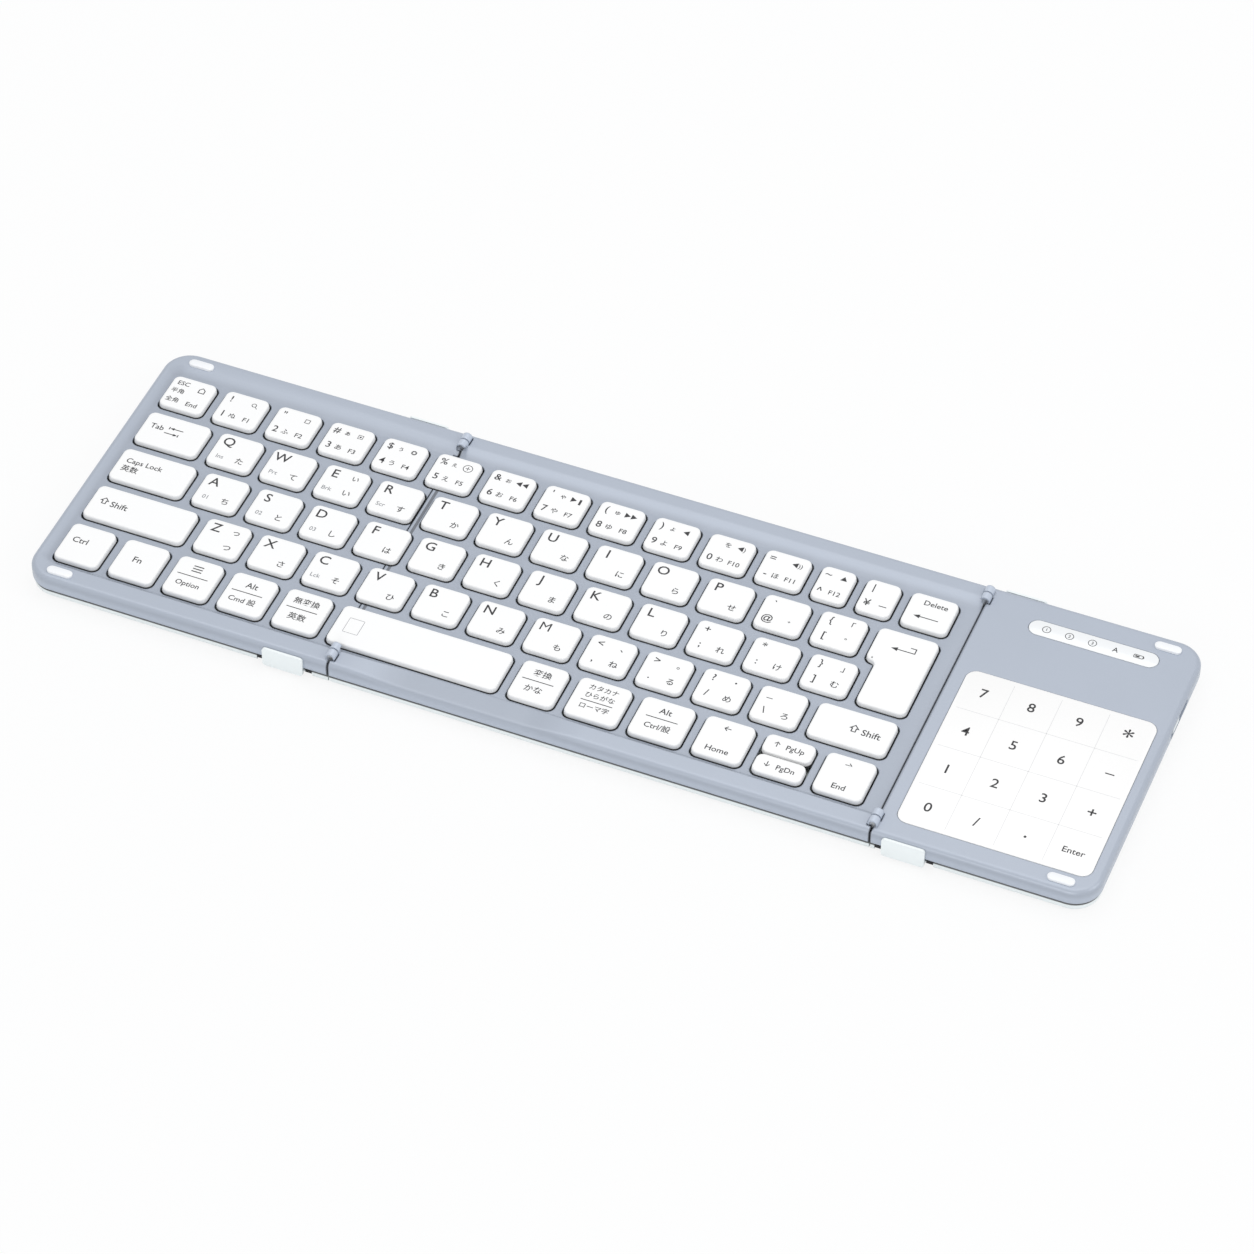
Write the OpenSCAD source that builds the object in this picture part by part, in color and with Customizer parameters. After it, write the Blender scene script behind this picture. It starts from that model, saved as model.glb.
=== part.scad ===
// Tri-fold keyboard with a numeric touchpad.
// Three panels lie in a row along X and fold face to face about two axes that run along Y.
// The left and centre panels carry the keys, the right one carries the touchpad.

/* [Keys] */
// Distance between the centres of two neighbouring standard keys
key_pitch = 16.6; // [15.6:0.1:19]
// Deck left bare between two neighbouring caps of a row
key_gap = 2.8; // [2.2:0.1:4]
// Distance between two rows of keys
row_pitch = 16.2; // [15.6:0.1:19]
// Depth of a cap in the four upper rows
cap_d = 13.3; // [12:0.1:14]
// Depth of a cap in the bottom row
cap_bottom_d = 14.9; // [14:0.1:17]
// Height of a cap
cap_h = 2.6; // [2.2:0.1:3]
// Corner radius of a cap
cap_corner_r = 2.0; // [1:0.1:3]
// Rounding of a cap's top edge
cap_edge_r = 0.5; // [0.2:0.1:0.8]
// Wall and top of a cap
cap_wall = 1.0; // [0.8:0.1:1.2]
// How far the caps stand above the rims
cap_proud = 0.1; // [0:0.05:0.2]
// How far a key goes down
key_travel = 1.5; // [1:0.1:1.6]
// Gap between a cap and its opening
key_clear = 0.35; // [0.25:0.05:0.6]
// Gap between the two half-depth page caps
page_gap = 0.4; // [0.3:0.1:1.2]

/* [Panels] */
// Height of the rims above the table
body_h = 8.0; // [7.8:0.1:10]
// Depth of the web between the caps below the rims
web_drop = 1.4; // [1.2:0.1:1.6]
// Thickness of the web and of the touchpad panel's top
deck_t = 1.0; // [0.8:0.1:1.2]
// Bare border left of the keys
side_border = 5.0; // [4.6:0.1:8]
// Bare border behind the keys
back_border = 10.0; // [9.6:0.1:14]
// Bare border in front of the keys
front_border = 8.1; // [7.8:0.1:12]
// Bare border between the last key and the second fold
fold_border = 5.6; // [5:0.1:10]
// Width of the touchpad panel from its fold to its outer side
right_w = 62.4; // [60:0.1:80]
// Corner radius of the unfolded keyboard
corner_r = 8.0; // [6:0.1:10]
// Rounding of the upper edges
edge_r = 1.5; // [0.8:0.1:1.8]
// Rounding of the walls' lower edges
lower_edge_r = 0.8; // [0.3:0.1:1]
// Thickness of the outer walls
wall_t = 2.0; // [1.9:0.1:2.6]
// Height of the rims' flat above the walls' lower edges
wall_h = 5.0; // [4.6:0.1:5.2]
// Flat of the rear rim
back_rim = 6.0; // [5:0.1:7]
// Flat of the front rim
front_rim = 5.8; // [5:0.1:6.4]
// Flat of the left rim
side_rim = 2.3; // [2.1:0.1:2.8]

/* [Finger scoop] */
// Length of the scoop in the centre panel's front rim
scoop_l = 70; // [50:1:90]
// Depth of the scoop
scoop_drop = 1.3; // [0.6:0.1:1.35]
// Length of each of its ramps
scoop_ramp = 18; // [12:1:24]

/* [Folds] */
// Height of the fold axes above the rims
axis_above_rim = 0.5; // [0.4:0.05:0.8]
// Radius of the hinge barrels
barrel_r = 1.45; // [1.4:0.05:1.7]
// Length of a hinge barrel
barrel_l = 5.1; // [4.6:0.1:6]
// Distance from the outer faces to the barrels
barrel_inset = 1.9; // [1.7:0.1:2.4]
// Radius of the hinge pins
pin_r = 0.9; // [0.7:0.05:1]
// Radial clearance of the pins in the side panels' barrels
pin_clear = 0.05; // [0.02:0.01:0.08]
// Gap between two panels at a fold
fold_gap = 0.4; // [0.3:0.05:0.6]
// Distance of the left fold's parting line from its axis, under the keys
parting_shift = 1.4; // [1:0.1:1.6]

/* [Bottom] */
// Thickness of the bottom covers
cover_t = 1.2; // [1:0.1:1.3]
// Height of the covers' raised edges
cover_edge_h = 2.1; // [1.8:0.1:2.2]
// How far the covers stand in from the walls
cover_inset = 0.5; // [0.3:0.1:0.8]
// Height of the rubber feet
foot_h = 0.6; // [0.5:0.1:1]
// Radius of the cover screws' heads
screw_head_r = 1.5; // [1.2:0.1:1.6]
// Radius of their shanks
screw_r = 0.7; // [0.5:0.05:0.8]
// Length of the screws
screw_l = 4.4; // [3.5:0.1:4.6]

/* [Touchpad] */
// Width of the touchpad
pad_w = 54.3; // [40:0.1:56]
// Depth of the touchpad
pad_d = 59.3; // [50:0.1:62]
// Thickness of the touchpad
pad_t = 0.7; // [0.5:0.1:0.7]
// Corner radius of the touchpad
pad_corner_r = 3.2; // [1:0.1:6]
// Distance from the keyboard's front face to the touchpad
pad_front = 6.3; // [5.5:0.1:10]
// Length of the indicator window
window_l = 37.2; // [25:0.1:42]
// Width of the indicator window
window_w = 5.6; // [4:0.1:8]
// Distance from the keyboard's rear face to the window's middle
window_back = 10.3; // [8:0.1:16]

/* [Stands] */
// Width of the flip-out stands
stand_w = 12.1; // [11:0.1:14]
// Distance from a stand to its fold
stand_fold = 7.2; // [7:0.1:12]
// Height of the stands' end tabs
stand_h = 6.5; // [6:0.1:6.8]
// Thickness of the stands
stand_t = 0.7; // [0.5:0.1:1]
// Radius of the stands' pivots
pivot_r = 0.8; // [0.6:0.05:0.8]

/* [Bumpers] */
// Length of the bumpers on the side panels
bumper_l = 7.6; // [5:0.1:9]
// Width of the bumpers
bumper_w = 2.6; // [2:0.1:3]

/* [Hidden] */
$fn = 48;

case_colour = [0.72, 0.76, 0.83];
white_colour = [0.97, 0.97, 0.97];
metal_colour = [0.68, 0.70, 0.70];
rubber_colour = [0.86, 0.88, 0.90];
board_colour = [0.10, 0.35, 0.20];
film_colour = [0.85, 0.90, 0.85];

eps = 0.01;
// Widths of the keys of each row from left to right, in key pitches; the last key fills up the row
field_span = 14.6;
ONE = 1;
ROWS = [
    [for (i = [0:11]) ONE, 0.795, 0.795],
    [1.36, for (i = [0:11]) ONE],
    [1.55, for (i = [0:11]) ONE],
    [2.05, for (i = [0:10]) ONE],
    [for (i = [0:4]) ONE, 3.24, ONE, 1.115, 1.11, 1.045, 1.045]
];
// Number of keys of each row that the left panel carries
LEFT_COUNT = [5, 5, 5, 4, 5];
last_row = 4;
page_key = 10;
space_key = 5;
enter_key = 13;
// The left fold's axis, in key pitches from the left end of the keys
fold_span = 5.295;

function sum(v, n, i = 0) = i < n ? v[i] + sum(v, n, i + 1) : 0;
function row_len(r) = len(ROWS[r]) + 1;
function span(r, i) = i < len(ROWS[r]) ? ROWS[r][i] : field_span - sum(ROWS[r], len(ROWS[r]));

left_w = side_border + fold_span * key_pitch;
centre_w = (field_span - fold_span) * key_pitch - key_gap + fold_border;
body_w = left_w + centre_w + right_w;
body_d = back_border + last_row * row_pitch + cap_bottom_d + front_border;
x_left = -body_w / 2;
x_right = body_w / 2;
y_back = body_d / 2;
y_front = -body_d / 2;
fold_1 = x_left + left_w;
fold_2 = fold_1 + centre_w;
axis_z = body_h + axis_above_rim;

function key_x(r, i) = x_left + side_border + sum(ROWS[r], i) * key_pitch;
function key_w(r, i) = span(r, i) * key_pitch - key_gap;
function row_y(r) = y_back - back_border - r * row_pitch;
function row_d(r) = r == last_row ? cap_bottom_d : cap_d;

// Levels above the table
cover_z = foot_h;
floor_z = cover_z + cover_t;
wall_z = body_h - wall_h;
web_z = body_h - web_drop;
web_under = web_z - deck_t;
cap_top = body_h + cap_proud;
cap_z = cap_top - cap_h;
pressed_z = cap_z - key_travel;
plate_t = 0.5;
membrane_t = 0.3;
membrane_z = pressed_z - 0.4 - membrane_t;
plate_z = membrane_z - plate_t;
mechanism_z = membrane_z + membrane_t;
// A key pocket ends below the lowest place that a cap of the next panel sweeps through
pocket_z = floor_z + 0.6;
pocket_wall = 1.0;
end_wall = 0.8;
// Parting faces: straight at the axis through the rims, shifted under the keys on the left fold
left_edge_rim = fold_1 - fold_gap / 2;
left_edge_web = left_edge_rim - parting_shift;
centre_edge_rim = fold_1 + fold_gap / 2;
centre_edge_web = centre_edge_rim - parting_shift;
centre_end = fold_2 - fold_gap / 2;
right_start = fold_2 + fold_gap / 2;
// The well that the keys stand in: its upper opening and its floor, whose rims stand round the keys
web_rim = 0.3;
web_rim_side = 0.5;
web_rim_back = 1.4;
well_back = y_back - back_rim;
well_front = y_front + front_rim;
well_left = x_left + side_rim;
floor_back = row_y(0) + web_rim_back;
floor_front = y_front + front_border - key_clear - web_rim;
floor_left = x_left + side_border - key_clear - web_rim_side;
well_corner_r = 3.5;
// The deck lies inside the walls' rounded edges
deck_inset = edge_r + 0.2;
// Fronts and backs of the spaces for the key plates
plate_gap = 0.2;
plate_front = floor_front + plate_gap;
plate_back = floor_back - plate_gap;
cover_lip = 1.2;
cover_lip_r = 0.3;
cover_low_r = 0.7;
// The flat of a cover starts inside its lip's rounding
cover_edge = cover_inset + cover_lip - cover_lip_r;

// ---- Profiles and outlines ----

// A rectangle with round corners, centred
module round_rect(w, d, r) {
    square([w - 2 * r, d], center = true);
    square([w, d - 2 * r], center = true);
    for (x = [-1, 1], y = [-1, 1])
        translate([x * (w / 2 - r), y * (d / 2 - r)]) circle(r);
}

// Cross-section of an outer wall: u runs inwards from the outer face, v upwards
module wall_profile(t, h, top_r, low_r) {
    translate([top_r, 0]) square([t - top_r, h]);
    translate([0, low_r]) square([t, h - low_r - top_r]);
    translate([low_r, 0]) square([t - low_r, h - top_r]);
    translate([top_r, h - top_r]) rotate(90) quarter_disc(top_r);
    translate([low_r, low_r]) rotate(180) quarter_disc(low_r);
}

module quarter_disc(r) {
    intersection() {
        circle(r);
        square(r);
    }
}

// A straight stretch of a profile along X, on the front face or, mirrored, on the rear one
module run_x(x0, x1, y, back = false) {
    translate([x0, y, 0]) mirror([0, back ? 1 : 0, 0])
        rotate([90, 0, 90]) linear_extrude(x1 - x0) children();
}

// A straight stretch of a profile along Y, on the left side
module run_y(y0, y1, x) {
    translate([x, y1, 0]) rotate([90, 0, 0]) linear_extrude(y1 - y0) children();
}

// A quarter turn of a profile round a corner of radius r, from angle a
module turn(x, y, r, a) {
    translate([x, y, 0]) rotate([0, 0, a])
        rotate_extrude(angle = 90) translate([r, 0]) mirror([1, 0]) children();
}

// Walls of an end panel with its outer side at the left
module end_ring(x0, x1, inset, r) {
    yb = y_back - inset;
    yf = y_front + inset;
    run_x(x0 + inset + r, x1, yf) children();
    run_x(x0 + inset + r, x1, yb, true) children();
    run_y(yf + r, yb - r, x0 + inset) children();
    turn(x0 + inset + r, yb - r, r, 90) children();
    turn(x0 + inset + r, yf + r, r, 180) children();
}

// Outline of an end panel with its outer side at the left, inset and square at x1
module end_outline(x0, x1, inset, r) {
    d = body_d - 2 * inset;
    for (y = [-1, 1])
        translate([x0 + inset + r, y * (d / 2 - r)]) circle(r);
    translate([x0 + inset, r - d / 2]) square([x1 - x0 - inset, d - 2 * r]);
    translate([x0 + inset + r, -d / 2]) square([x1 - x0 - inset - r, d]);
}

// The panels' plan areas between their parting faces
module left_area() {
    translate([x_left - 1, y_front - 1]) square([left_edge_web - x_left + 1, body_d + 2]);
    for (y = [[y_front - 1, floor_front], [floor_back, y_back + 1]])
        translate([x_left - 1, y[0]]) square([left_edge_rim - x_left + 1, y[1] - y[0]]);
}

module centre_area() {
    translate([centre_edge_rim, y_front - 1]) square([centre_end - centre_edge_rim, body_d + 2]);
    translate([centre_edge_web, floor_front + fold_gap])
        square([centre_end - centre_edge_web, floor_back - floor_front - 2 * fold_gap]);
}

// ---- Keys ----

function key_list(side) = [
    for (r = [0:last_row], i = [0:row_len(r) - 1])
        if (side == "left" ? i < LEFT_COUNT[r] : i >= LEFT_COUNT[r])
            if (i != enter_key || r != 1 && r != 2) [r, i]
];
LEFT_KEYS = key_list("left");
CENTRE_KEYS = key_list("centre");
// Keys of one panel that reach across the left fold into the other
OVER_LEFT = [for (k = CENTRE_KEYS) if (key_x(k[0], k[1]) - key_clear < left_edge_web) k];
OVER_CENTRE = [for (k = LEFT_KEYS)
    if (key_x(k[0], k[1]) + key_w(k[0], k[1]) + key_clear > centre_edge_web) k];

module at_key(k) {
    r = k[0];
    i = k[1];
    translate([key_x(r, i) + key_w(r, i) / 2, row_y(r) - row_d(r) / 2, 0]) children();
}

// Opening of a key, as an area
module key_area(k, grow) {
    at_key(k) round_rect(key_w(k[0], k[1]) + 2 * grow, row_d(k[0]) + 2 * grow,
                         cap_corner_r + grow);
}

// The enter key reaches over two rows and is wider at its top
enter_x = key_x(1, enter_key);
enter_low_x = key_x(2, enter_key);
enter_right = key_x(1, enter_key) + key_w(1, enter_key);
enter_back = row_y(1);
enter_front = row_y(2) - cap_d;

module at_enter_top() {
    translate([(enter_x + enter_right) / 2, enter_back - cap_d / 2, 0]) children();
}

module at_enter_low() {
    translate([(enter_low_x + enter_right) / 2, (enter_back + enter_front) / 2, 0]) children();
}

module enter_area(grow) {
    at_enter_top() round_rect(enter_right - enter_x + 2 * grow, cap_d + 2 * grow,
                              cap_corner_r + grow);
    at_enter_low() round_rect(enter_right - enter_low_x + 2 * grow,
                              enter_back - enter_front + 2 * grow, cap_corner_r + grow);
}

// Section across a cap, with both upper edges rounded
module cap_section(w) {
    translate([-w / 2, 0]) square([w, cap_h - cap_edge_r]);
    translate([cap_edge_r - w / 2, 0]) square([w - 2 * cap_edge_r, cap_h]);
    for (s = [-1, 1])
        translate([s * (w / 2 - cap_edge_r), cap_h - cap_edge_r]) circle(cap_edge_r);
}

module cap_block(w, d) {
    r = cap_corner_r;
    rotate([90, 0, 0]) linear_extrude(d - 2 * r, center = true) cap_section(w);
    rotate([90, 0, 90]) linear_extrude(w - 2 * r, center = true) cap_section(d);
    for (x = [-1, 1], y = [-1, 1])
        translate([x * (w / 2 - r), y * (d / 2 - r), 0])
            rotate([0, 0, x > 0 ? (y > 0 ? 0 : 270) : (y > 0 ? 90 : 180)])
                rotate_extrude(angle = 90) {
                    square([r, cap_h - cap_edge_r]);
                    square([r - cap_edge_r, cap_h]);
                    translate([r - cap_edge_r, cap_h - cap_edge_r]) circle(cap_edge_r);
                }
}

module cap_hollow(w, d) {
    translate([cap_wall - w / 2, cap_wall - d / 2, -eps])
        cube([w - 2 * cap_wall, d - 2 * cap_wall, cap_h - cap_wall + eps]);
}

module cap(w, d) {
    difference() {
        cap_block(w, d);
        cap_hollow(w, d);
    }
}

module key(r, i) {
    translate([0, 0, cap_z]) at_key([r, i]) cap(key_w(r, i), row_d(r));
}

module keys(r, first, last) {
    color(white_colour) for (i = [first:last]) key(r, i);
}

module enter_cap() {
    top_w = enter_right - enter_x;
    low_w = enter_right - enter_low_x;
    low_d = enter_back - enter_front;
    color(white_colour) translate([0, 0, cap_z]) difference() {
        union() {
            at_enter_top() cap_block(top_w, cap_d);
            at_enter_low() cap_block(low_w, low_d);
        }
        at_enter_top() cap_hollow(top_w, cap_d);
        at_enter_low() cap_hollow(low_w, low_d);
    }
}

// The page keys share one opening and halve its depth
page_d = (cap_bottom_d - page_gap) / 2;
module page_cap(side) {
    color(white_colour) translate([0, side * (page_d + page_gap) / 2, cap_z])
        at_key([last_row, page_key]) cap(key_w(last_row, page_key), page_d);
}

// ---- Mechanism under the keys ----

dome_r = 2.6;
small_dome_r = 2.1;
dome_top_r = 1.4;
dome_h = 1.6;
frame_max = 9.6;
frame_bar = 1.0;
frame_h = 0.9;

// Half the room inside a cap that is left for its scissor frame
function frame_size(w) = min(frame_max, w - 2 * cap_wall - 1.2);
function is_page(k) = k[0] == last_row && k[1] == page_key;
function is_narrow(k) = span(k[0], k[1]) < 0.9;

// Ends of the sheets under the keys at the left fold, less the room that a frame keeps to them
left_limit = left_edge_web - end_wall - 2 * plate_gap;
centre_limit = centre_edge_web + end_wall + 2 * plate_gap;
frame_room = cap_wall + 0.6;

// Places of the mechanisms: [x, y, dome radius, frame width, frame depth].
// Under a cap that reaches across the left fold the frame is moved back onto its own panel.
function unit_at(k, dx = 0) = let (
    x0 = key_x(k[0], k[1]), w = key_w(k[0], k[1]), size = frame_size(w),
    own_left = k[1] < LEFT_COUNT[k[0]],
    middle = x0 + w / 2 + dx,
    lo = own_left ? max(min(middle + size / 2, left_limit) - size, x0 + frame_room)
                  : max(middle - size / 2, centre_limit),
    hi = own_left ? min(middle + size / 2, left_limit)
                  : min(lo + size, x0 + w - frame_room)
) [
    (lo + hi) / 2, row_y(k[0]) - row_d(k[0]) / 2,
    is_narrow(k) ? small_dome_r : dome_r, hi - lo, frame_size(row_d(k[0]))
];
enter_unit = [(enter_low_x + enter_right) / 2, (enter_back + enter_front) / 2,
              dome_r, frame_size(enter_right - enter_low_x), frame_max];
function units(list) = [for (k = list) if (!is_page(k)) unit_at(k)];
space_units = [for (s = [-1, 1]) unit_at([last_row, space_key], s * key_pitch)];

module dome(x, y, r) {
    translate([x, y, mechanism_z]) cylinder(h = dome_h, r1 = r, r2 = dome_top_r);
}

module scissor(x, y, w, d) {
    translate([x, y, mechanism_z]) difference() {
        translate([-w / 2, -d / 2, 0]) cube([w, d, frame_h]);
        translate([frame_bar - w / 2, frame_bar - d / 2, -eps])
            cube([w - 2 * frame_bar, d - 2 * frame_bar, frame_h + 2 * eps]);
    }
}

module left_domes() {
    color(rubber_colour) for (u = units(LEFT_KEYS)) dome(u[0], u[1], u[2]);
}

module centre_domes() {
    page = unit_at([last_row, page_key]);
    color(rubber_colour) {
        for (u = units(CENTRE_KEYS)) dome(u[0], u[1], u[2]);
        dome(enter_unit[0], enter_unit[1], enter_unit[2]);
        for (s = [-1, 1]) dome(page[0], page[1] + s * (page_d + page_gap) / 2, small_dome_r);
    }
}

module left_scissors() {
    color(white_colour) for (u = units(LEFT_KEYS)) scissor(u[0], u[1], u[3], u[4]);
}

module centre_scissors() {
    color(white_colour) {
        for (u = units(CENTRE_KEYS)) scissor(u[0], u[1], u[3], u[4]);
        for (u = space_units) scissor(u[0], u[1], u[3], u[4]);
        scissor(enter_unit[0], enter_unit[1], enter_unit[3], enter_unit[4]);
    }
}

// Outlines of the sheets under the keys, clear of the pockets of the other panel's keys
module left_sheet(inset = 0) {
    x0 = x_left + wall_t + plate_gap + inset;
    x1 = left_edge_web - end_wall - plate_gap - inset;
    difference() {
        translate([x0, plate_front + inset]) square([x1 - x0, plate_back - plate_front - 2 * inset]);
        for (k = OVER_LEFT) key_area(k, key_clear + pocket_wall + plate_gap + inset);
    }
}

module centre_sheet(inset = 0) {
    x0 = centre_edge_web + end_wall + plate_gap + inset;
    x1 = centre_end - end_wall - plate_gap - inset;
    difference() {
        translate([x0, plate_front + inset]) square([x1 - x0, plate_back - plate_front - 2 * inset]);
        for (k = OVER_CENTRE) key_area(k, key_clear + pocket_wall + plate_gap + inset);
    }
}

module left_plate() {
    color(metal_colour) translate([0, 0, plate_z]) linear_extrude(plate_t) left_sheet();
}

module centre_plate() {
    color(metal_colour) translate([0, 0, plate_z]) linear_extrude(plate_t) centre_sheet();
}

module left_membrane() {
    color(film_colour) translate([0, 0, membrane_z]) linear_extrude(membrane_t) left_sheet();
}

module centre_membrane() {
    color(film_colour) translate([0, 0, membrane_z]) linear_extrude(membrane_t) centre_sheet();
}

// ---- Hinges ----

barrel_gap = 0.2;
press_clear = 0.01;
knuckle_l = (barrel_l - barrel_gap) / 2;
groove_clear = 0.3;

// Lower end along Y of a knuckle: the outer ones belong to the side panels
function knuckle_y(back, outer) =
    back ? y_back - barrel_inset - (outer ? knuckle_l : barrel_l)
         : y_front + barrel_inset + (outer ? 0 : barrel_l - knuckle_l);

module along_y(x, y, l, r) {
    translate([x, y + l, axis_z]) rotate([90, 0, 0]) cylinder(h = l, r = r);
}

module knuckles(x, outer) {
    for (back = [false, true]) along_y(x, knuckle_y(back, outer), knuckle_l, barrel_r);
}

module knuckle_bores(x, outer, r) {
    for (back = [false, true])
        along_y(x, knuckle_y(back, outer) - 1, knuckle_l + 2, r);
}

// Room in a rim for the other panel's knuckles
module knuckle_grooves(x, outer) {
    for (back = [false, true]) {
        y = knuckle_y(back, outer) - groove_clear;
        along_y(x, y, knuckle_l + 2 * groove_clear, barrel_r + groove_clear);
    }
}

module hinge_pins(x) {
    color(metal_colour) for (y = [y_front + barrel_inset, y_back - barrel_inset - barrel_l])
        along_y(x, y, barrel_l, pin_r);
}

// ---- Cases ----

// The long sides of the well, whose flanks slope down from the rims to the web
module well_run(x0, x1) {
    translate([x0, 0, 0]) rotate([90, 0, 90]) linear_extrude(x1 - x0)
        polygon([[floor_front, web_z], [floor_back, web_z], [well_back, body_h],
                 [well_back, body_h + 1], [well_front, body_h + 1], [well_front, body_h]]);
}

// The closed left end of the well with its round corners
module well_end() {
    r = well_corner_r;
    hull() {
        translate([0, 0, web_z]) linear_extrude(eps)
            well_end_area(floor_left, floor_front, floor_back, r - 1.5);
        translate([0, 0, body_h]) linear_extrude(eps)
            well_end_area(well_left, well_front, well_back, r);
    }
    translate([0, 0, body_h]) linear_extrude(1)
        well_end_area(well_left, well_front, well_back, r);
}

module well_end_area(x0, y0, y1, r) {
    x1 = floor_left + well_corner_r + 2;
    for (y = [y0 + r, y1 - r]) translate([x0 + r, y]) circle(r, $fn = 32);
    translate([x0 + r, y0]) square([x1 - x0 - r, y1 - y0]);
    translate([x0, y0 + r]) square([x1 - x0, y1 - y0 - 2 * r]);
}

// Bosses for the cover screws
boss_r = 1.9;
boss_inset = 4.6;
SIDE_BOSSES = [for (x = [0.16, 0.62], y = [-1, 1]) [x, y]];
CENTRE_BOSSES = [for (x = [0.08, 0.5, 0.92], y = [-1, 1]) [x, y]];
function boss_y(s) = s * (body_d / 2 - boss_inset);

module at_left_bosses() {
    for (b = SIDE_BOSSES) translate([x_left + b[0] * left_w, boss_y(b[1]), 0]) children();
}

module at_centre_bosses() {
    for (b = CENTRE_BOSSES) translate([fold_1 + b[0] * centre_w, boss_y(b[1]), 0]) children();
}

module at_right_bosses() {
    for (b = SIDE_BOSSES) translate([x_right - b[0] * right_w, boss_y(b[1]), 0]) children();
}

module boss(top) {
    translate([0, 0, floor_z]) cylinder(h = top - floor_z, r = boss_r);
}

module boss_bore() {
    translate([0, 0, floor_z - eps])
        cylinder(h = cover_z + screw_l + 0.2 - floor_z + eps, r = screw_r + 0.05);
}

module case_wall() {
    wall_profile(wall_t, wall_h, edge_r, lower_edge_r);
}

// Solid ends of the rims at a fold, which carry the knuckles
rim_block = 4;
module rim_blocks(x) {
    for (y = [[y_front + deck_inset, floor_front - fold_gap],
              [floor_back + fold_gap, y_back - deck_inset]])
        translate([x, y[0], wall_z]) cube([rim_block, y[1] - y[0], body_h - wall_z - web_drop]);
}

// Walls that close a panel's end and the pockets of the other panel's keys
module left_inner_walls() {
    translate([0, 0, floor_z]) linear_extrude(web_under - floor_z + eps) {
        translate([left_edge_web - end_wall, plate_front - plate_gap])
            square([end_wall, plate_back - plate_front + 2 * plate_gap]);
        intersection() {
            for (k = OVER_LEFT) key_area(k, key_clear + pocket_wall);
            translate([x_left, plate_front - plate_gap])
                square([left_edge_web - x_left, plate_back - plate_front + 2 * plate_gap]);
        }
    }
}

module centre_inner_walls() {
    translate([0, 0, floor_z]) linear_extrude(web_under - floor_z + eps) {
        for (x = [centre_edge_web, centre_end - end_wall])
            translate([x, plate_front - plate_gap])
                square([end_wall, plate_back - plate_front + 2 * plate_gap]);
        intersection() {
            for (k = OVER_CENTRE) key_area(k, key_clear + pocket_wall);
            translate([centre_edge_web, plate_front - plate_gap])
                square([centre_w, plate_back - plate_front + 2 * plate_gap]);
        }
    }
}

// Openings of a panel's own keys, and pockets of those that reach in from the other panel
hole_z = pressed_z - 0.3;
module key_openings(own, foreign) {
    translate([0, 0, hole_z]) linear_extrude(body_h - hole_z + 1)
        for (k = own) key_area(k, key_clear);
    translate([0, 0, pocket_z]) linear_extrude(body_h - pocket_z + 1)
        for (k = foreign) key_area(k, key_clear);
}

module left_case() {
    color(case_colour) difference() {
        union() {
            intersection() {
                union() {
                    translate([0, 0, wall_z]) end_ring(x_left, left_edge_rim, 0, corner_r)
                        case_wall();
                    translate([0, 0, web_under]) linear_extrude(body_h - web_under)
                        end_outline(x_left, left_edge_rim, deck_inset, corner_r - deck_inset);
                    rim_blocks(left_edge_rim - rim_block);
                }
                translate([0, 0, floor_z]) linear_extrude(body_h) left_area();
            }
            left_inner_walls();
            at_left_bosses() boss(web_under + eps);
            knuckles(fold_1, true);
        }
        well_run(floor_left + well_corner_r, fold_1 + 1);
        well_end();
        key_openings(LEFT_KEYS, OVER_LEFT);
        knuckle_grooves(fold_1, false);
        knuckle_bores(fold_1, true, pin_r + pin_clear);
        at_left_bosses() boss_bore();
        stand_bores(left_pivot_x);
        channel_room(left_stand_x);
    }
}

// Height of the front rim along the scoop: a smooth step down, a flat and a step up
scoop_x0 = fold_1 + 4.4;
scoop_x1 = scoop_x0 + scoop_l;
function smooth(t) = t <= 0 ? 0 : t >= 1 ? 1 : t * t * (3 - 2 * t);
function scoop_z(x) = body_h - scoop_drop *
    min(smooth((x - scoop_x0) / scoop_ramp), smooth((scoop_x1 - x) / scoop_ramp));
ramp_steps = 12;
SCOOP_X = [
    for (i = [0:ramp_steps]) scoop_x0 + i * scoop_ramp / ramp_steps,
    for (i = [0:ramp_steps]) scoop_x1 - scoop_ramp + i * scoop_ramp / ramp_steps
];
WALL_X = concat([centre_edge_rim], SCOOP_X, [centre_end]);
arc_steps = 6;
// The front wall's section with its top at z, as points [distance from the face, height]
function wall_points(z) = [
    [lower_edge_r, wall_z], [wall_t, wall_z], [wall_t, z],
    for (i = [0:arc_steps]) let (a = 90 + i * 90 / arc_steps)
        [edge_r + edge_r * cos(a), z - edge_r + edge_r * sin(a)],
    for (i = [0:2]) let (a = 180 + i * 45 / 1.5)
        [lower_edge_r + lower_edge_r * cos(a), wall_z + lower_edge_r + lower_edge_r * sin(a)]
];

// The whole front wall of the centre panel, with the scoop in it
module front_wall() {
    n = len(wall_points(body_h));
    m = len(WALL_X);
    points = [for (x = WALL_X) for (p = wall_points(scoop_z(x))) [x, y_front + p[0], p[1]]];
    faces = [
        [for (j = [0:n - 1]) j],
        for (i = [0:m - 2]) for (j = [0:n - 1])
            [i * n + j, (i + 1) * n + j, (i + 1) * n + (j + 1) % n, i * n + (j + 1) % n],
        [for (j = [0:n - 1]) m * n - 1 - j]
    ];
    polyhedron(points, faces);
}

module scoop_cut() {
    outline = [
        [scoop_x0, body_h + 1],
        for (x = SCOOP_X) [x, scoop_z(x)],
        [scoop_x1, body_h + 1]
    ];
    translate([0, well_front + 2, 0]) rotate([90, 0, 0])
        linear_extrude(well_front + 2 - y_front - edge_r) polygon(outline);
}

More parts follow.
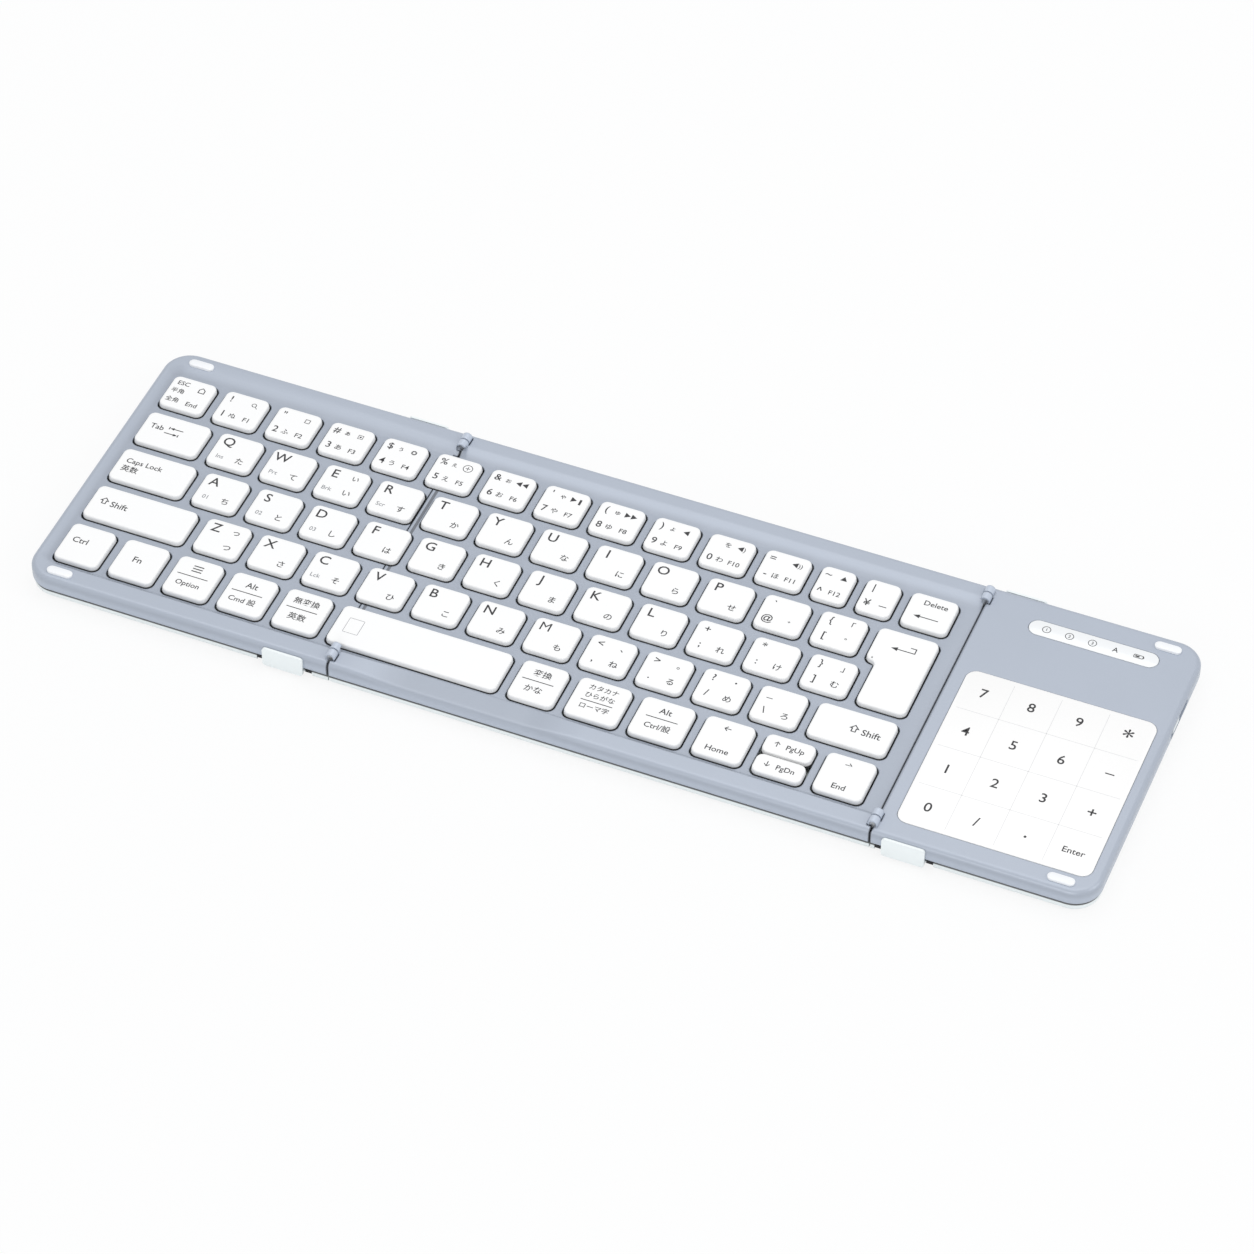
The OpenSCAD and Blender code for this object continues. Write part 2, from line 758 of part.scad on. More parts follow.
module centre_case() {
    color(case_colour) difference() {
        union() {
            intersection() {
                union() {
                    translate([0, 0, wall_z])
                        run_x(centre_edge_rim, centre_end, y_back, true) case_wall();
                    difference() {
                        translate([centre_edge_web, y_front + deck_inset, web_under])
                            cube([centre_end - centre_edge_web, body_d - 2 * deck_inset,
                                  body_h - web_under]);
                        scoop_cut();
                    }
                    rim_blocks(centre_edge_rim);
                    rim_blocks(centre_end - rim_block);
                }
                translate([0, 0, floor_z]) linear_extrude(body_h) centre_area();
            }
            front_wall();
            centre_inner_walls();
            at_centre_bosses() boss(web_under + eps);
            knuckles(fold_1, false);
            knuckles(fold_2, false);
        }
        well_run(centre_edge_web - 1, fold_2 + 1);
        key_openings(CENTRE_KEYS, OVER_CENTRE);
        translate([0, 0, hole_z]) linear_extrude(body_h) enter_area(key_clear);
        for (x = [fold_1, fold_2]) {
            knuckle_grooves(x, true);
            knuckle_bores(x, false, pin_r + press_clear);
        }
        at_centre_bosses() boss_bore();
    }
}

// ---- Touchpad panel ----

pad_clear = 0.1;
// How far the pad's board lies inside it at the left and the front, and how much smaller it is
pad_board_in = [1.5, 2.5];
pad_board_less = 4;
fold_bevel = 0.6;
pad_shift = 0.4;
window_shift = 1.0;
socket_shift = 4;
pad_x = (right_start + x_right) / 2 + pad_shift;
pad_y = y_front + pad_front + pad_d / 2;
window_x = pad_x + window_shift;
window_y = y_back - window_back;
window_flange = 1.0;
window_proud = 0.06;
pad_proud = 0.1;
flange_t = 0.4;
top_z = body_h - 1.2;
// Slide switch in the outer side and socket in the rear face
switch_y = y_back - 25.6;
switch_z = 5.2;
switch_recess = [14.8, 2.6, 1.0];
switch_knob = [5.0, 2.0];
switch_travel = 4.5;
socket_w = 8.9;
socket_h = 2.9;
socket_l = 7.3;
socket_r = 1.3;
socket_in = 0.6;
socket_back = 1.0;
socket_shell = 0.3;
socket_clear = 0.15;
socket_blade = [6.7, 0.7];
socket_x = pad_x + socket_shift;
board_z = 2.5;
board_t = 1.0;
// The main board's margins, depth and tongue, and its two chips as [width, depth, height]
board_left = 4;
board_right = 8;
board_back = 8.2;
board_d = 22;
tongue = [12, 5.8];
chip = [8, 8, 1.0];
chip_at = [6, 15];
radio = [6, 6, 0.8];
radio_at = [32, 16];
cell = [34, 38, 3.2];
cell_at = [21, 26];

module mirror_right() {
    mirror([1, 0, 0]) children();
}

module right_case() {
    color(case_colour) difference() {
        union() {
            mirror_right() translate([0, 0, wall_z])
                end_ring(-x_right, -right_start, 0, corner_r) case_wall();
            mirror_right() translate([0, 0, top_z]) linear_extrude(body_h - top_z)
                end_outline(-x_right, -right_start, deck_inset, corner_r - deck_inset);
            translate([right_start, y_front + deck_inset + 0.1, floor_z])
                cube([end_wall + 0.4, body_d - 2 * deck_inset - 0.2, top_z - floor_z + eps]);
            rim_blocks(right_start);
            at_right_bosses() boss(top_z + eps);
            knuckles(fold_2, true);
        }
        // Bevel along the fold
        translate([right_start, y_front - 1, body_h]) rotate([-90, 0, 0])
            linear_extrude(body_d + 2)
                polygon([[-1, -1], [fold_bevel, -1], [fold_bevel, 0], [0, fold_bevel], [-1, fold_bevel]]);
        // Recess of the touchpad
        translate([pad_x, pad_y, body_h - pad_t]) linear_extrude(pad_t + 1)
            round_rect(pad_w + 2 * pad_clear, pad_d + 2 * pad_clear, pad_corner_r + pad_clear);
        translate([window_x, window_y, top_z - 1]) linear_extrude(body_h)
            round_rect(window_l + 2 * pad_clear, window_w + 2 * pad_clear,
                       window_w / 2 + pad_clear - eps);
        knuckle_grooves(fold_2, false);
        knuckle_bores(fold_2, true, pin_r + pin_clear);
        at_right_bosses() boss_bore();
        switch_cut();
        socket_cut();
        stand_bores(right_pivot_x);
        channel_room(right_stand_x);
    }
}

module switch_cut() {
    l = switch_recess[0];
    h = switch_recess[1];
    translate([x_right - switch_recess[2], switch_y, switch_z]) rotate([0, 90, 0])
        linear_extrude(4) round_rect(h, l, h / 2 - eps);
    translate([x_right - wall_t - 1, switch_y - l / 2 + 2, switch_z - 0.7])
        cube([wall_t + 1, l - 4, 1.4]);
}

// The slider stands at one end of its travel
module power_switch() {
    k = switch_knob;
    y0 = switch_y - switch_recess[0] / 2 + 2.6;
    color(white_colour) {
        translate([x_right - switch_recess[2] + 0.1, y0, switch_z - k[1] / 2])
            cube([switch_recess[2] - 0.2, k[0], k[1]]);
        translate([x_right - wall_t - 0.6, y0 + 1, switch_z - 0.5])
            cube([wall_t - switch_recess[2] + 0.8, k[0] - 2, 1.0]);
        translate([x_right - wall_t - 1.2, y0, switch_z - 0.9]) cube([1.0, k[0], 1.8]);
    }
}

module socket_cut() {
    translate([socket_x, y_back + 1, board_z + board_t + socket_h / 2]) rotate([90, 0, 0])
        linear_extrude(wall_t + 2)
            round_rect(socket_w + 2 * socket_clear, socket_h + 2 * socket_clear,
                       socket_r + socket_clear);
}

module usb_socket() {
    color(metal_colour)
        translate([socket_x, y_back - socket_in, board_z + board_t + socket_h / 2])
            rotate([90, 0, 0]) difference() {
                linear_extrude(socket_l) round_rect(socket_w, socket_h, socket_r);
                translate([0, 0, -eps]) linear_extrude(socket_l - socket_back)
                    difference() {
                        round_rect(socket_w - 2 * socket_shell, socket_h - 2 * socket_shell,
                                   socket_r - socket_shell);
                        square(socket_blade, center = true);
                    }
            }
}

module touchpad() {
    color(white_colour) translate([pad_x, pad_y, body_h - pad_t])
        linear_extrude(pad_t + pad_proud) round_rect(pad_w, pad_d, pad_corner_r);
}

module touchpad_board() {
    color(board_colour)
        translate([pad_x - pad_w / 2 + pad_board_in[0], pad_y - pad_d / 2 + pad_board_in[1],
                   top_z - board_t])
            cube([pad_w - pad_board_less, pad_d - pad_board_less, board_t]);
}

module indicator_window() {
    color(white_colour) translate([window_x, window_y, 0]) {
        translate([0, 0, top_z - flange_t]) linear_extrude(flange_t)
            round_rect(window_l + 2 * window_flange, window_w + 2 * window_flange,
                       window_w / 2 + window_flange - eps);
        translate([0, 0, top_z - eps]) linear_extrude(body_h - top_z + window_proud)
            round_rect(window_l, window_w, window_w / 2 - eps);
    }
}

module main_board() {
    x0 = right_start + board_left;
    y1 = y_back - board_back;
    color(board_colour) {
        translate([x0, y1 - board_d, board_z])
            cube([right_w - board_left - board_right, board_d, board_t]);
        translate([socket_x - tongue[0] / 2, y1 - board_d, board_z])
            cube([tongue[0], board_d + tongue[1], board_t]);
        translate([x0 + chip_at[0], y1 - chip_at[1], board_z + board_t - eps])
            cube([chip[0], chip[1], chip[2] + eps]);
        translate([x0 + radio_at[0], y1 - radio_at[1], board_z + board_t - eps])
            cube([radio[0], radio[1], radio[2] + eps]);
    }
}

module battery() {
    color(metal_colour) translate([right_start + cell_at[0], pad_y - cell_at[1], floor_z])
        cube(cell);
}

// ---- Covers ----

module cover_wall() {
    wall_profile(cover_lip, cover_edge_h, cover_lip_r, cover_low_r);
}

screw_head_h = 0.6;
screw_clear = 0.15;
module cover_screw_holes() {
    translate([0, 0, cover_z - eps]) cylinder(h = screw_head_h + eps, r = screw_head_r + screw_clear);
    translate([0, 0, cover_z]) cylinder(h = cover_t + 1, r = screw_r + screw_clear);
}

// Ribs that carry the key plate
rib_w = 1.2;
rib_side_in = 2;
rib_fold_in = 8;
rib_end_in = 3;
board_rib_l = 16;
board_rib_in = 2.2;
module plate_ribs(x0, x1) {
    for (r = [1:last_row]) {
        y = row_y(r) + (row_pitch - cap_d) / 2;
        translate([x0, y - rib_w / 2, floor_z - eps])
            cube([x1 - x0, rib_w, plate_z - floor_z + eps]);
    }
}

module end_cover(x0, x1) {
    r = corner_r - cover_inset;
    translate([0, 0, cover_z]) {
        end_ring(x0, x1, cover_inset, r) cover_wall();
        linear_extrude(cover_t) end_outline(x0, x1, cover_edge, corner_r - cover_edge);
    }
}

module left_cover() {
    color(white_colour) difference() {
        union() {
            intersection() {
                end_cover(x_left, left_edge_rim);
                linear_extrude(body_h) left_area();
            }
            plate_ribs(x_left + wall_t + rib_side_in, left_edge_web - rib_fold_in);
            stand_channel(left_stand_x);
        }
        stand_cut(left_stand_x);
        at_left_bosses() cover_screw_holes();
    }
}

module centre_cover() {
    color(white_colour) difference() {
        union() {
            intersection() {
                translate([0, 0, cover_z]) {
                    run_x(centre_edge_rim, centre_end, y_front + cover_inset) cover_wall();
                    run_x(centre_edge_rim, centre_end, y_back - cover_inset, true) cover_wall();
                    translate([centre_edge_web, y_front + cover_edge, 0])
                        cube([centre_end - centre_edge_web, body_d - 2 * cover_edge, cover_t]);
                }
                linear_extrude(body_h) centre_area();
            }
            plate_ribs(fold_1 + rib_fold_in, centre_end - rib_end_in);
        }
        at_centre_bosses() cover_screw_holes();
    }
}

module right_cover() {
    color(white_colour) difference() {
        union() {
            mirror_right() end_cover(-x_right, -right_start);
            for (x = [0.3, 0.7])
                translate([right_start + x * right_w, y_back - board_back - board_d + board_rib_in,
                           floor_z - eps])
                    cube([rib_w, board_rib_l, board_z - floor_z + eps]);
            stand_channel(right_stand_x);
        }
        stand_cut(right_stand_x);
        at_right_bosses() cover_screw_holes();
    }
}

// ---- Stands ----

stand_clear = 0.2;
stand_side = 2.3;
stand_z = cover_z + stand_clear;
channel_z = stand_z + stand_t + stand_clear;
channel_roof = 0.6;
channel_wall = 1;
channel_clear = 0.1;
pivot_z = 4.4;
pivot_in = 1.8;
pivot_l = 1.6;
tab_clear = 0.1;
tab_r = 1.0;
bar_end = 1.0;
stand_past_fold = 3.6;
bar_start = 2.5;
left_stand_x = fold_1 - stand_fold - stand_w;
right_stand_x = fold_2 + stand_fold - stand_past_fold;
left_pivot_x = left_stand_x + pivot_in;
right_pivot_x = right_stand_x + stand_w - pivot_in;

// The channel that a stand's bar lies in, raised into the cover
module stand_channel(x) {
    translate([x - stand_side - channel_wall, y_front + cover_edge, floor_z - eps])
        cube([stand_w + 2 * (stand_side + channel_wall), body_d - 2 * cover_edge,
              channel_z + channel_roof - floor_z + eps]);
}

module stand_cut(x) {
    translate([x - stand_side, y_front - 1, 0])
        cube([stand_w + 2 * stand_side, body_d + 2, channel_z]);
}

// Room for the channel in the walls that reach down to the cover
module channel_room(x) {
    grow = stand_side + channel_wall + channel_clear;
    translate([x - grow, y_front, 0])
        cube([stand_w + 2 * grow, body_d, channel_z + channel_roof + channel_clear + eps]);
}

module stand_bores(x) {
    for (s = [-1, 1])
        translate([x, s * (body_d / 2 - pivot_l), pivot_z]) rotate([-90 * s, 0, 0])
            cylinder(h = pivot_l + 1, r = pivot_r + pin_clear);
}

// A stand is a bar under the panel with a tab at each end and a pivot into each wall
module stand() {
    tab_y = body_d / 2 + tab_clear;
    for (s = [-1, 1]) {
        translate([stand_w / 2, s * (tab_y + stand_t / 2), stand_z + stand_h / 2])
            rotate([90, 0, 0]) linear_extrude(stand_t, center = true)
                round_rect(stand_w, stand_h, tab_r);
        translate([pivot_in, s * (body_d / 2 - pivot_l + 0.1), pivot_z]) rotate([-90 * s, 0, 0])
            cylinder(h = pivot_l - 0.1 + tab_clear + 0.1, r = pivot_r);
    }
    translate([pivot_in + bar_start, -tab_y - 0.1, stand_z])
        cube([stand_w - pivot_in - bar_start - bar_end, 2 * tab_y + 0.2, stand_t]);
}

module left_stand() {
    color(white_colour) translate([left_stand_x, 0, 0]) stand();
}

module right_stand() {
    color(white_colour) translate([right_stand_x + stand_w, 0, 0]) mirror([1, 0, 0]) stand();
}

// ---- Screws, feet and bumpers ----

slot_l = 1.6;
slot_w = 0.3;
module screw() {
    translate([0, 0, cover_z]) difference() {
        union() {
            cylinder(h = screw_head_h, r = screw_head_r);
            cylinder(h = screw_l, r = screw_r);
        }
        for (a = [0, 90]) rotate([0, 0, a])
            translate([-slot_l / 2, -slot_w / 2, -eps]) cube([slot_l, slot_w, slot_w + eps]);
    }
}

foot_l = 16;
foot_w = 4;
module foot() {
    linear_extrude(foot_h) round_rect(foot_l, foot_w, foot_w / 2 - eps);
}

foot_in = 12.5;
// How far the feet's middles lie from the outer ends and from the folds
left_foot_in = 16;
left_foot_fold = 34;
centre_foot_fold = 14;
right_foot_fold = 29;
right_foot_in = 12;
module feet(x0, x1) {
    color(rubber_colour) for (x = [x0, x1], s = [-1, 1])
        translate([x, s * (body_d / 2 - foot_in), 0]) foot();
}

bumper_h = 0.8;
bumper_x = 10.3;
bumper_back = 4.3;
bumper_front = 3.2;
module bumpers(x) {
    color(white_colour) for (y = [y_back - bumper_back, y_front + bumper_front])
        translate([x, y, body_h]) linear_extrude(bumper_h)
            round_rect(bumper_l, bumper_w, bumper_w / 2 - eps);
}

module left_screws() {
    color(metal_colour) at_left_bosses() screw();
}

module centre_screws() {
    color(metal_colour) at_centre_bosses() screw();
}

module right_screws() {
    color(metal_colour) at_right_bosses() screw();
}

left_case();
left_cover();
left_plate();
left_membrane();
left_domes();
left_scissors();
left_screws();
feet(x_left + left_foot_in, fold_1 - left_foot_fold);  // left_feet
bumpers(x_left + bumper_x);  // left_bumpers
left_stand();
keys(0, 0, 4);  // keys_number_left
keys(1, 1, 4);  // keys_upper_left
keys(2, 1, 4);  // keys_home_left
keys(3, 1, 3);  // keys_lower_left
keys(1, 0, 0);  // key_tab
keys(2, 0, 0);  // key_caps_lock
keys(3, 0, 0);  // key_left_shift
keys(4, 0, 0);  // key_ctrl
keys(4, 1, 1);  // key_fn
keys(4, 2, 2);  // key_system
keys(4, 3, 3);  // key_left_alt
keys(4, 4, 4);  // key_non_convert
centre_case();
centre_cover();
centre_plate();
centre_membrane();
centre_domes();
centre_scissors();
centre_screws();
feet(fold_1 + centre_foot_fold, fold_2 - centre_foot_fold);  // centre_feet
hinge_pins(fold_1);  // left_hinge_pins
hinge_pins(fold_2);  // right_hinge_pins
keys(0, 5, 13);  // keys_number_centre
keys(1, 5, 12);  // keys_upper_centre
keys(2, 5, 12);  // keys_home_centre
keys(3, 4, 11);  // keys_lower_centre
keys(0, 14, 14);  // key_delete
enter_cap();  // key_enter
keys(3, 12, 12);  // key_right_shift
keys(4, 5, 5);  // key_space
keys(4, 6, 6);  // key_convert
keys(4, 7, 7);  // key_kana
keys(4, 8, 8);  // key_right_alt
keys(4, 9, 9);  // key_home
page_cap(1);  // key_page_up
page_cap(-1);  // key_page_down
keys(4, 11, 11);  // key_end
right_case();
right_cover();
right_screws();
feet(fold_2 + right_foot_fold, x_right - right_foot_in);  // right_feet
bumpers(x_right - bumper_x);  // right_bumpers
right_stand();
touchpad();
touchpad_board();
indicator_window();
main_board();
battery();
usb_socket();
power_switch();
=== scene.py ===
"""Dresses the tri-fold keyboard: cases, keys, legends, touchpad, small parts and the studio."""

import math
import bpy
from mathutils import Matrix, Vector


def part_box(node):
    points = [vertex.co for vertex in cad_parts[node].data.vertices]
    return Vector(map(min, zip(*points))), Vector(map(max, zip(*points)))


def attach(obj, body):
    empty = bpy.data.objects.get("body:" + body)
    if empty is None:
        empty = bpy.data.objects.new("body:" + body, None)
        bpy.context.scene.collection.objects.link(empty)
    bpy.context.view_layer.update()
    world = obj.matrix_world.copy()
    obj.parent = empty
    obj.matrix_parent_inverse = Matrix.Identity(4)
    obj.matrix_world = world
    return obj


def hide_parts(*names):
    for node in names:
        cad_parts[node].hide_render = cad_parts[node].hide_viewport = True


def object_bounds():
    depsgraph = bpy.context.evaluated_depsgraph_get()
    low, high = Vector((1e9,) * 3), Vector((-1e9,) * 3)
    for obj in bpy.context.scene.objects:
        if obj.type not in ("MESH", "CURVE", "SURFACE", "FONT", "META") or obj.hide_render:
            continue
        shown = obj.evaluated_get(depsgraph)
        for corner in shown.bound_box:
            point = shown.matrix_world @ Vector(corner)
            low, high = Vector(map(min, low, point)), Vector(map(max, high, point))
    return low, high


bl_info = {
    "name": "Tri-fold keyboard",
    "version": (1, 0, 0),
    "blender": (4, 5, 0),
    "location": "View3D > Sidebar > Tri-fold keyboard",
    "description": "Builds the visible surfaces of a tri-fold keyboard round its solid parts",
    "category": "Add Mesh",
}

import bmesh
import bpy
from bpy.props import FloatProperty, FloatVectorProperty, PointerProperty
from mathutils import Euler, Matrix, Vector

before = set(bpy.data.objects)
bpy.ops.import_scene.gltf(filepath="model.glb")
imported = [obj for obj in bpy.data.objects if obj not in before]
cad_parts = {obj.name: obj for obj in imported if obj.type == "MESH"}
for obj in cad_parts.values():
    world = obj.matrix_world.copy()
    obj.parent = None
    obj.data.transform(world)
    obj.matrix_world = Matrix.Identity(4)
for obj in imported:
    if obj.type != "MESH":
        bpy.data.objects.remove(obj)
CAD_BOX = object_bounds()
MM = 0.001

# ---- Layout of the keys, in millimetres ----

PITCH = 16.6
GAP = 2.8
ROW_PITCH = 16.2
CAP_D = 13.3
BOTTOM_D = 14.9
CAP_H = 2.6
SIDE_BORDER = 5.0
BACK_BORDER = 10.0
SPAN = 14.6
LAST_ROW = 4
ROWS = (
    (1,) * 12 + (0.795, 0.795),
    (1.36,) + (1,) * 12,
    (1.55,) + (1,) * 12,
    (2.05,) + (1,) * 11,
    (1, 1, 1, 1, 1, 3.24, 1, 1.115, 1.11, 1.045, 1.045),
)
X_LEFT = CAD_BOX[0][0] / MM
Y_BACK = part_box("centre_case")[1].y / MM
CAP_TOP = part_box("key_space")[1].z / MM
CAP_Z = CAP_TOP - CAP_H
# Top of the webs between the keys
WEB_TOP = 6.6
PAD_CORNER = 3.2
BUMPER_LENGTH = 7.6
BUMPER_WIDTH = 2.6
# How far the indicator window's flange stands out, and how far its top is above the deck
WINDOW_FLANGE = 1.0
WINDOW_RISE = 1.26

# Shares of a finish's colour by height: painted shade that darkens walls and narrow gaps
RAMP_REACH = 10.0
# Cases: painted shade towards the feet and on the webs between the keys, and a painted highlight on
# the hinge barrels above the deck
CASE_PAINTED_SHADE = ((1.0, 0.64), (4.5, 0.84), (6.65, 0.70), (7.7, 0.78), (8.1, 0.78), (8.5, 1.0))
# Caps: painted shade, nearly black below the web, where the gap round each cap lies in shadow
KEY_PAINTED_SHADE = ((WEB_TOP - 0.1, 0.06), (WEB_TOP + 0.12, 0.92), (CAP_TOP - 0.1, 1.0))
# Covers: a painted shadow along the top of the edge, in the gap under the case
COVER_PAINTED_SHADE = ((2.1, 1.0), (2.5, 0.12))
# Painted shade on the narrow faces inside the folds: its colour, half the width of the zone, and
# its top
FOLD_PAINTED_SHADE = (0.15, 0.165, 0.195, 1)
FOLD_HALF = 0.45
FOLD_TOP = 8.02

# How much of the floor's look is its own white, which keeps it pale right up to the shadow
FLOOR_GLOW = 0.85

# Near-black blocks beside a stand's tab, painted shade standing in for the shadow in its slots:
# their near and far ends from the tab, how deep they reach into the cover's face and out of it,
# and the heights of foot, shoulder and top
SLOT_SHADE_NEAR = 0.3
SLOT_SHADE_FAR = 2.2
SLOT_SHADE_IN = 0.3
SLOT_SHADE_OUT = 0.06
SLOT_SHADE_CHAMFER = 0.1
SLOT_SHADE_HEIGHTS = (1.72, 2.6, 2.68)

# The keys of each node as (row, first, last)
KEY_NODES = {
    "keys_number_left": (0, 0, 4),
    "keys_upper_left": (1, 1, 4),
    "keys_home_left": (2, 1, 4),
    "keys_lower_left": (3, 1, 3),
    "key_tab": (1, 0, 0),
    "key_caps_lock": (2, 0, 0),
    "key_left_shift": (3, 0, 0),
    "key_ctrl": (4, 0, 0),
    "key_fn": (4, 1, 1),
    "key_system": (4, 2, 2),
    "key_left_alt": (4, 3, 3),
    "key_non_convert": (4, 4, 4),
    "keys_number_centre": (0, 5, 13),
    "keys_upper_centre": (1, 5, 12),
    "keys_home_centre": (2, 5, 12),
    "keys_lower_centre": (3, 4, 11),
    "key_delete": (0, 14, 14),
    "key_right_shift": (3, 12, 12),
    "key_space": (4, 5, 5),
    "key_convert": (4, 6, 6),
    "key_kana": (4, 7, 7),
    "key_right_alt": (4, 8, 8),
    "key_home": (4, 9, 9),
    "key_end": (4, 11, 11),
}

# Legends of the keys from left to right. A mark is (text, u, v, size, tone): u and v run from
# the cap's rear left corner to the mark's centre, and tone 1 is the pale print.
LETTER = 4.5
KANA = 2.7
SMALL = 2.1
SIGN = 3.4
# Half a capital's height, and how much bolder the print is, as shares of the text size
HALF_CAPITAL = 0.343
BOLDER = 0.010


def letter(capital, kana, shifted="", pale=""):
    marks = [(capital, 3.7, 3.4, LETTER, 0), (kana, 9.6, 9.7, KANA, 0)]
    if shifted:
        marks.append((shifted, 9.8, 3.4, KANA, 0))
    if pale:
        marks.append((pale, 3.6, 9.7, SMALL, 1))
    return marks


def number(digit, shifted, kana, small_kana, icon, key):
    return [
        (shifted, 2.7, 3.3, SIGN, 0), (small_kana, 6.0, 3.6, SMALL, 0),
        (icon, 10.0, 3.7, SMALL, 0), (digit, 2.7, 9.6, SIGN, 0),
        (kana, 5.7, 9.8, SMALL + 0.2, 0), (key, 10.0, 9.9, SMALL + 0.3, 0),
    ]


def sign(shifted, plain, kana, mark=""):
    marks = [(shifted, 3.5, 3.3, SIGN, 0), (plain, 3.5, 9.3, SIGN, 0), (kana, 9.6, 9.7, KANA, 0)]
    if mark:
        marks.append((mark, 9.8, 3.4, KANA, 0))
    return marks


def split_legend(above, above_size, below, below_size, u=6.9, v=4.2):
    """Two marks with a line between them."""
    return [(above, u, v, above_size, 0), ("line", 6.6, 7.1, 9.2, 0),
            (below, 6.5, 10.2, below_size, 0)]


LEGENDS = {
    0: [
        [("ESC", 3.9, 2.9, SMALL + 0.2, 0), ("半角", 3.4, 6.2, SMALL, 0),
         ("全角", 3.4, 10.0, SMALL, 0), ("End", 9.6, 10.2, SMALL + 0.3, 0),
         ("⌂", 10.0, 3.8, 3.2, 0)],
        number("1", "!", "ぬ", "", "search", "F1"), number("2", "\"", "ふ", "", "□", "F2"),
        number("3", "#", "あ", "ぁ", "▣", "F3"), number("4", "$", "う", "ぅ", "◎", "F4"),
        number("5", "%", "え", "ぇ", "⊕", "F5"), number("6", "&", "お", "ぉ", "◀◀", "F6"),
        number("7", "'", "や", "ゃ", "▶▮", "F7"), number("8", "(", "ゆ", "ゅ", "▶▶", "F8"),
        number("9", ")", "よ", "ょ", "◀", "F9"), number("0", "", "わ", "を", "◀)", "F10"),
        number("-", "=", "ほ", "", "◀))", "F11"),
        [("~", 2.6, 3.2, SIGN, 0), ("▲", 7.2, 3.6, SMALL, 0), ("^", 2.2, 10.0, SIGN, 0),
         ("F12", 6.6, 9.9, SMALL + 0.3, 0)],
        [("|", 2.8, 3.2, SIGN, 0), ("¥", 2.8, 9.4, SIGN, 0), ("ー", 7.4, 9.6, KANA, 0)],
        [("Delete", 7.8, 3.4, 2.6, 0), ("arrow", 6.6, 9.0, 7.2, 0)],
    ],
    1: [
        [("Tab", 4.6, 5.6, 2.7, 0), ("tabs", 9.9, 6.0, 4.4, 0)],
        letter("Q", "た", "", "Ins"), letter("W", "て", "", "Prt"),
        letter("E", "い", "ぃ", "Brk"), letter("R", "す", "", "Scr"),
        letter("T", "か"), letter("Y", "ん"), letter("U", "な"),
        letter("I", "に"), letter("O", "ら"), letter("P", "せ"), sign("`", "@", "゛"),
        sign("{", "[", "゜", "「"),
    ],
    2: [
        [("Caps Lock", 8.2, 4.9, 2.6, 0), ("英数", 5.0, 8.2, 2.6, 0)],
        letter("A", "ち", "", "01"), letter("S", "と", "", "02"), letter("D", "し", "", "03"),
        letter("F", "は"), letter("G", "き"), letter("H", "く"), letter("J", "ま"),
        letter("K", "の"), letter("L", "り"), sign("+", ";", "れ"), sign("*", ":", "け"),
        sign("}", "]", "む", "」"),
    ],
    3: [
        [("⇧", 4.2, 6.0, 3.2, 0), ("Shift", 8.9, 6.4, 3.0, 0)],
        letter("Z", "つ", "っ"), letter("X", "さ"), letter("C", "そ", "", "Lck"),
        letter("V", "ひ"), letter("B", "こ"), letter("N", "み"), letter("M", "も"),
        sign("<", ",", "ね", "、"), sign(">", ".", "る", "。"), sign("?", "/", "め", "・"),
        sign("_", "\\", "ろ"),
        [("⇧", 12.0, 6.6, 3.4, 0), ("Shift", 17.0, 7.0, 3.1, 0)],
    ],
    4: [
        [("Ctrl", 5.0, 6.4, 2.9, 0)],
        [("Fn", 6.4, 7.2, 3.0, 0)],
        split_legend("menu", 3.0, "Option", 2.5, 6.8, 4.1),
        split_legend("Alt", 2.9, "Cmd 設", 2.5),
        split_legend("無変換", 2.6, "英数", 2.7),
        [("frame", 5.8, 7.4, 4.4, 1)],
        split_legend("変換", 2.7, "かな", 2.7),
        [("カタカナ", 7.9, 3.2, 2.2, 0), ("ひらがな", 7.9, 6.2, 2.2, 0),
         ("line", 7.7, 8.3, 9.2, 0), ("ローマ字", 7.8, 10.4, 2.2, 0)],
        [("Alt", 7.8, 4.2, 2.9, 0), ("line", 7.7, 7.1, 9.2, 0), ("Ctrl/設", 7.6, 10.2, 2.6, 0)],
        [("←", 7.0, 3.4, 2.7, 0), ("Home", 7.0, 11.6, 2.7, 0)],
        [],
        [("→", 7.0, 3.4, 2.7, 0), ("End", 7.0, 11.6, 2.7, 0)],
    ],
}
PAD_DIGITS = (("7", "8", "9", "*"), ("4", "5", "6", "minus"), ("1", "2", "3", "+"),
              ("0", "/", "dot", "Enter"))
PAD_SIZES = {"*": 7.0, "minus": 2.6, "dot": 0.8, "Enter": 2.9, "+": 5.0}
ENTER_MARKS = [("hook", 9.0, 6.8, 7.0, 0)]
PAGE_MARKS = {
    "key_page_up": [("↑", 3.9, 3.6, 2.6, 0), ("PgUp", 9.2, 3.8, 2.5, 0)],
    "key_page_down": [("↓", 3.9, 3.6, 2.6, 0), ("PgDn", 9.2, 3.8, 2.5, 0)],
}


def key_rect(row, i):
    """x0, x1, y0, y1 of a cap in millimetres."""
    widths = ROWS[row]
    width = widths[i] if i < len(widths) else SPAN - sum(widths)
    x0 = X_LEFT + SIDE_BORDER + sum(widths[:i]) * PITCH
    y1 = Y_BACK - BACK_BORDER - row * ROW_PITCH
    return x0, x0 + width * PITCH - GAP, y1 - (BOTTOM_D if row == LAST_ROW else CAP_D), y1


# ---- Settings ----


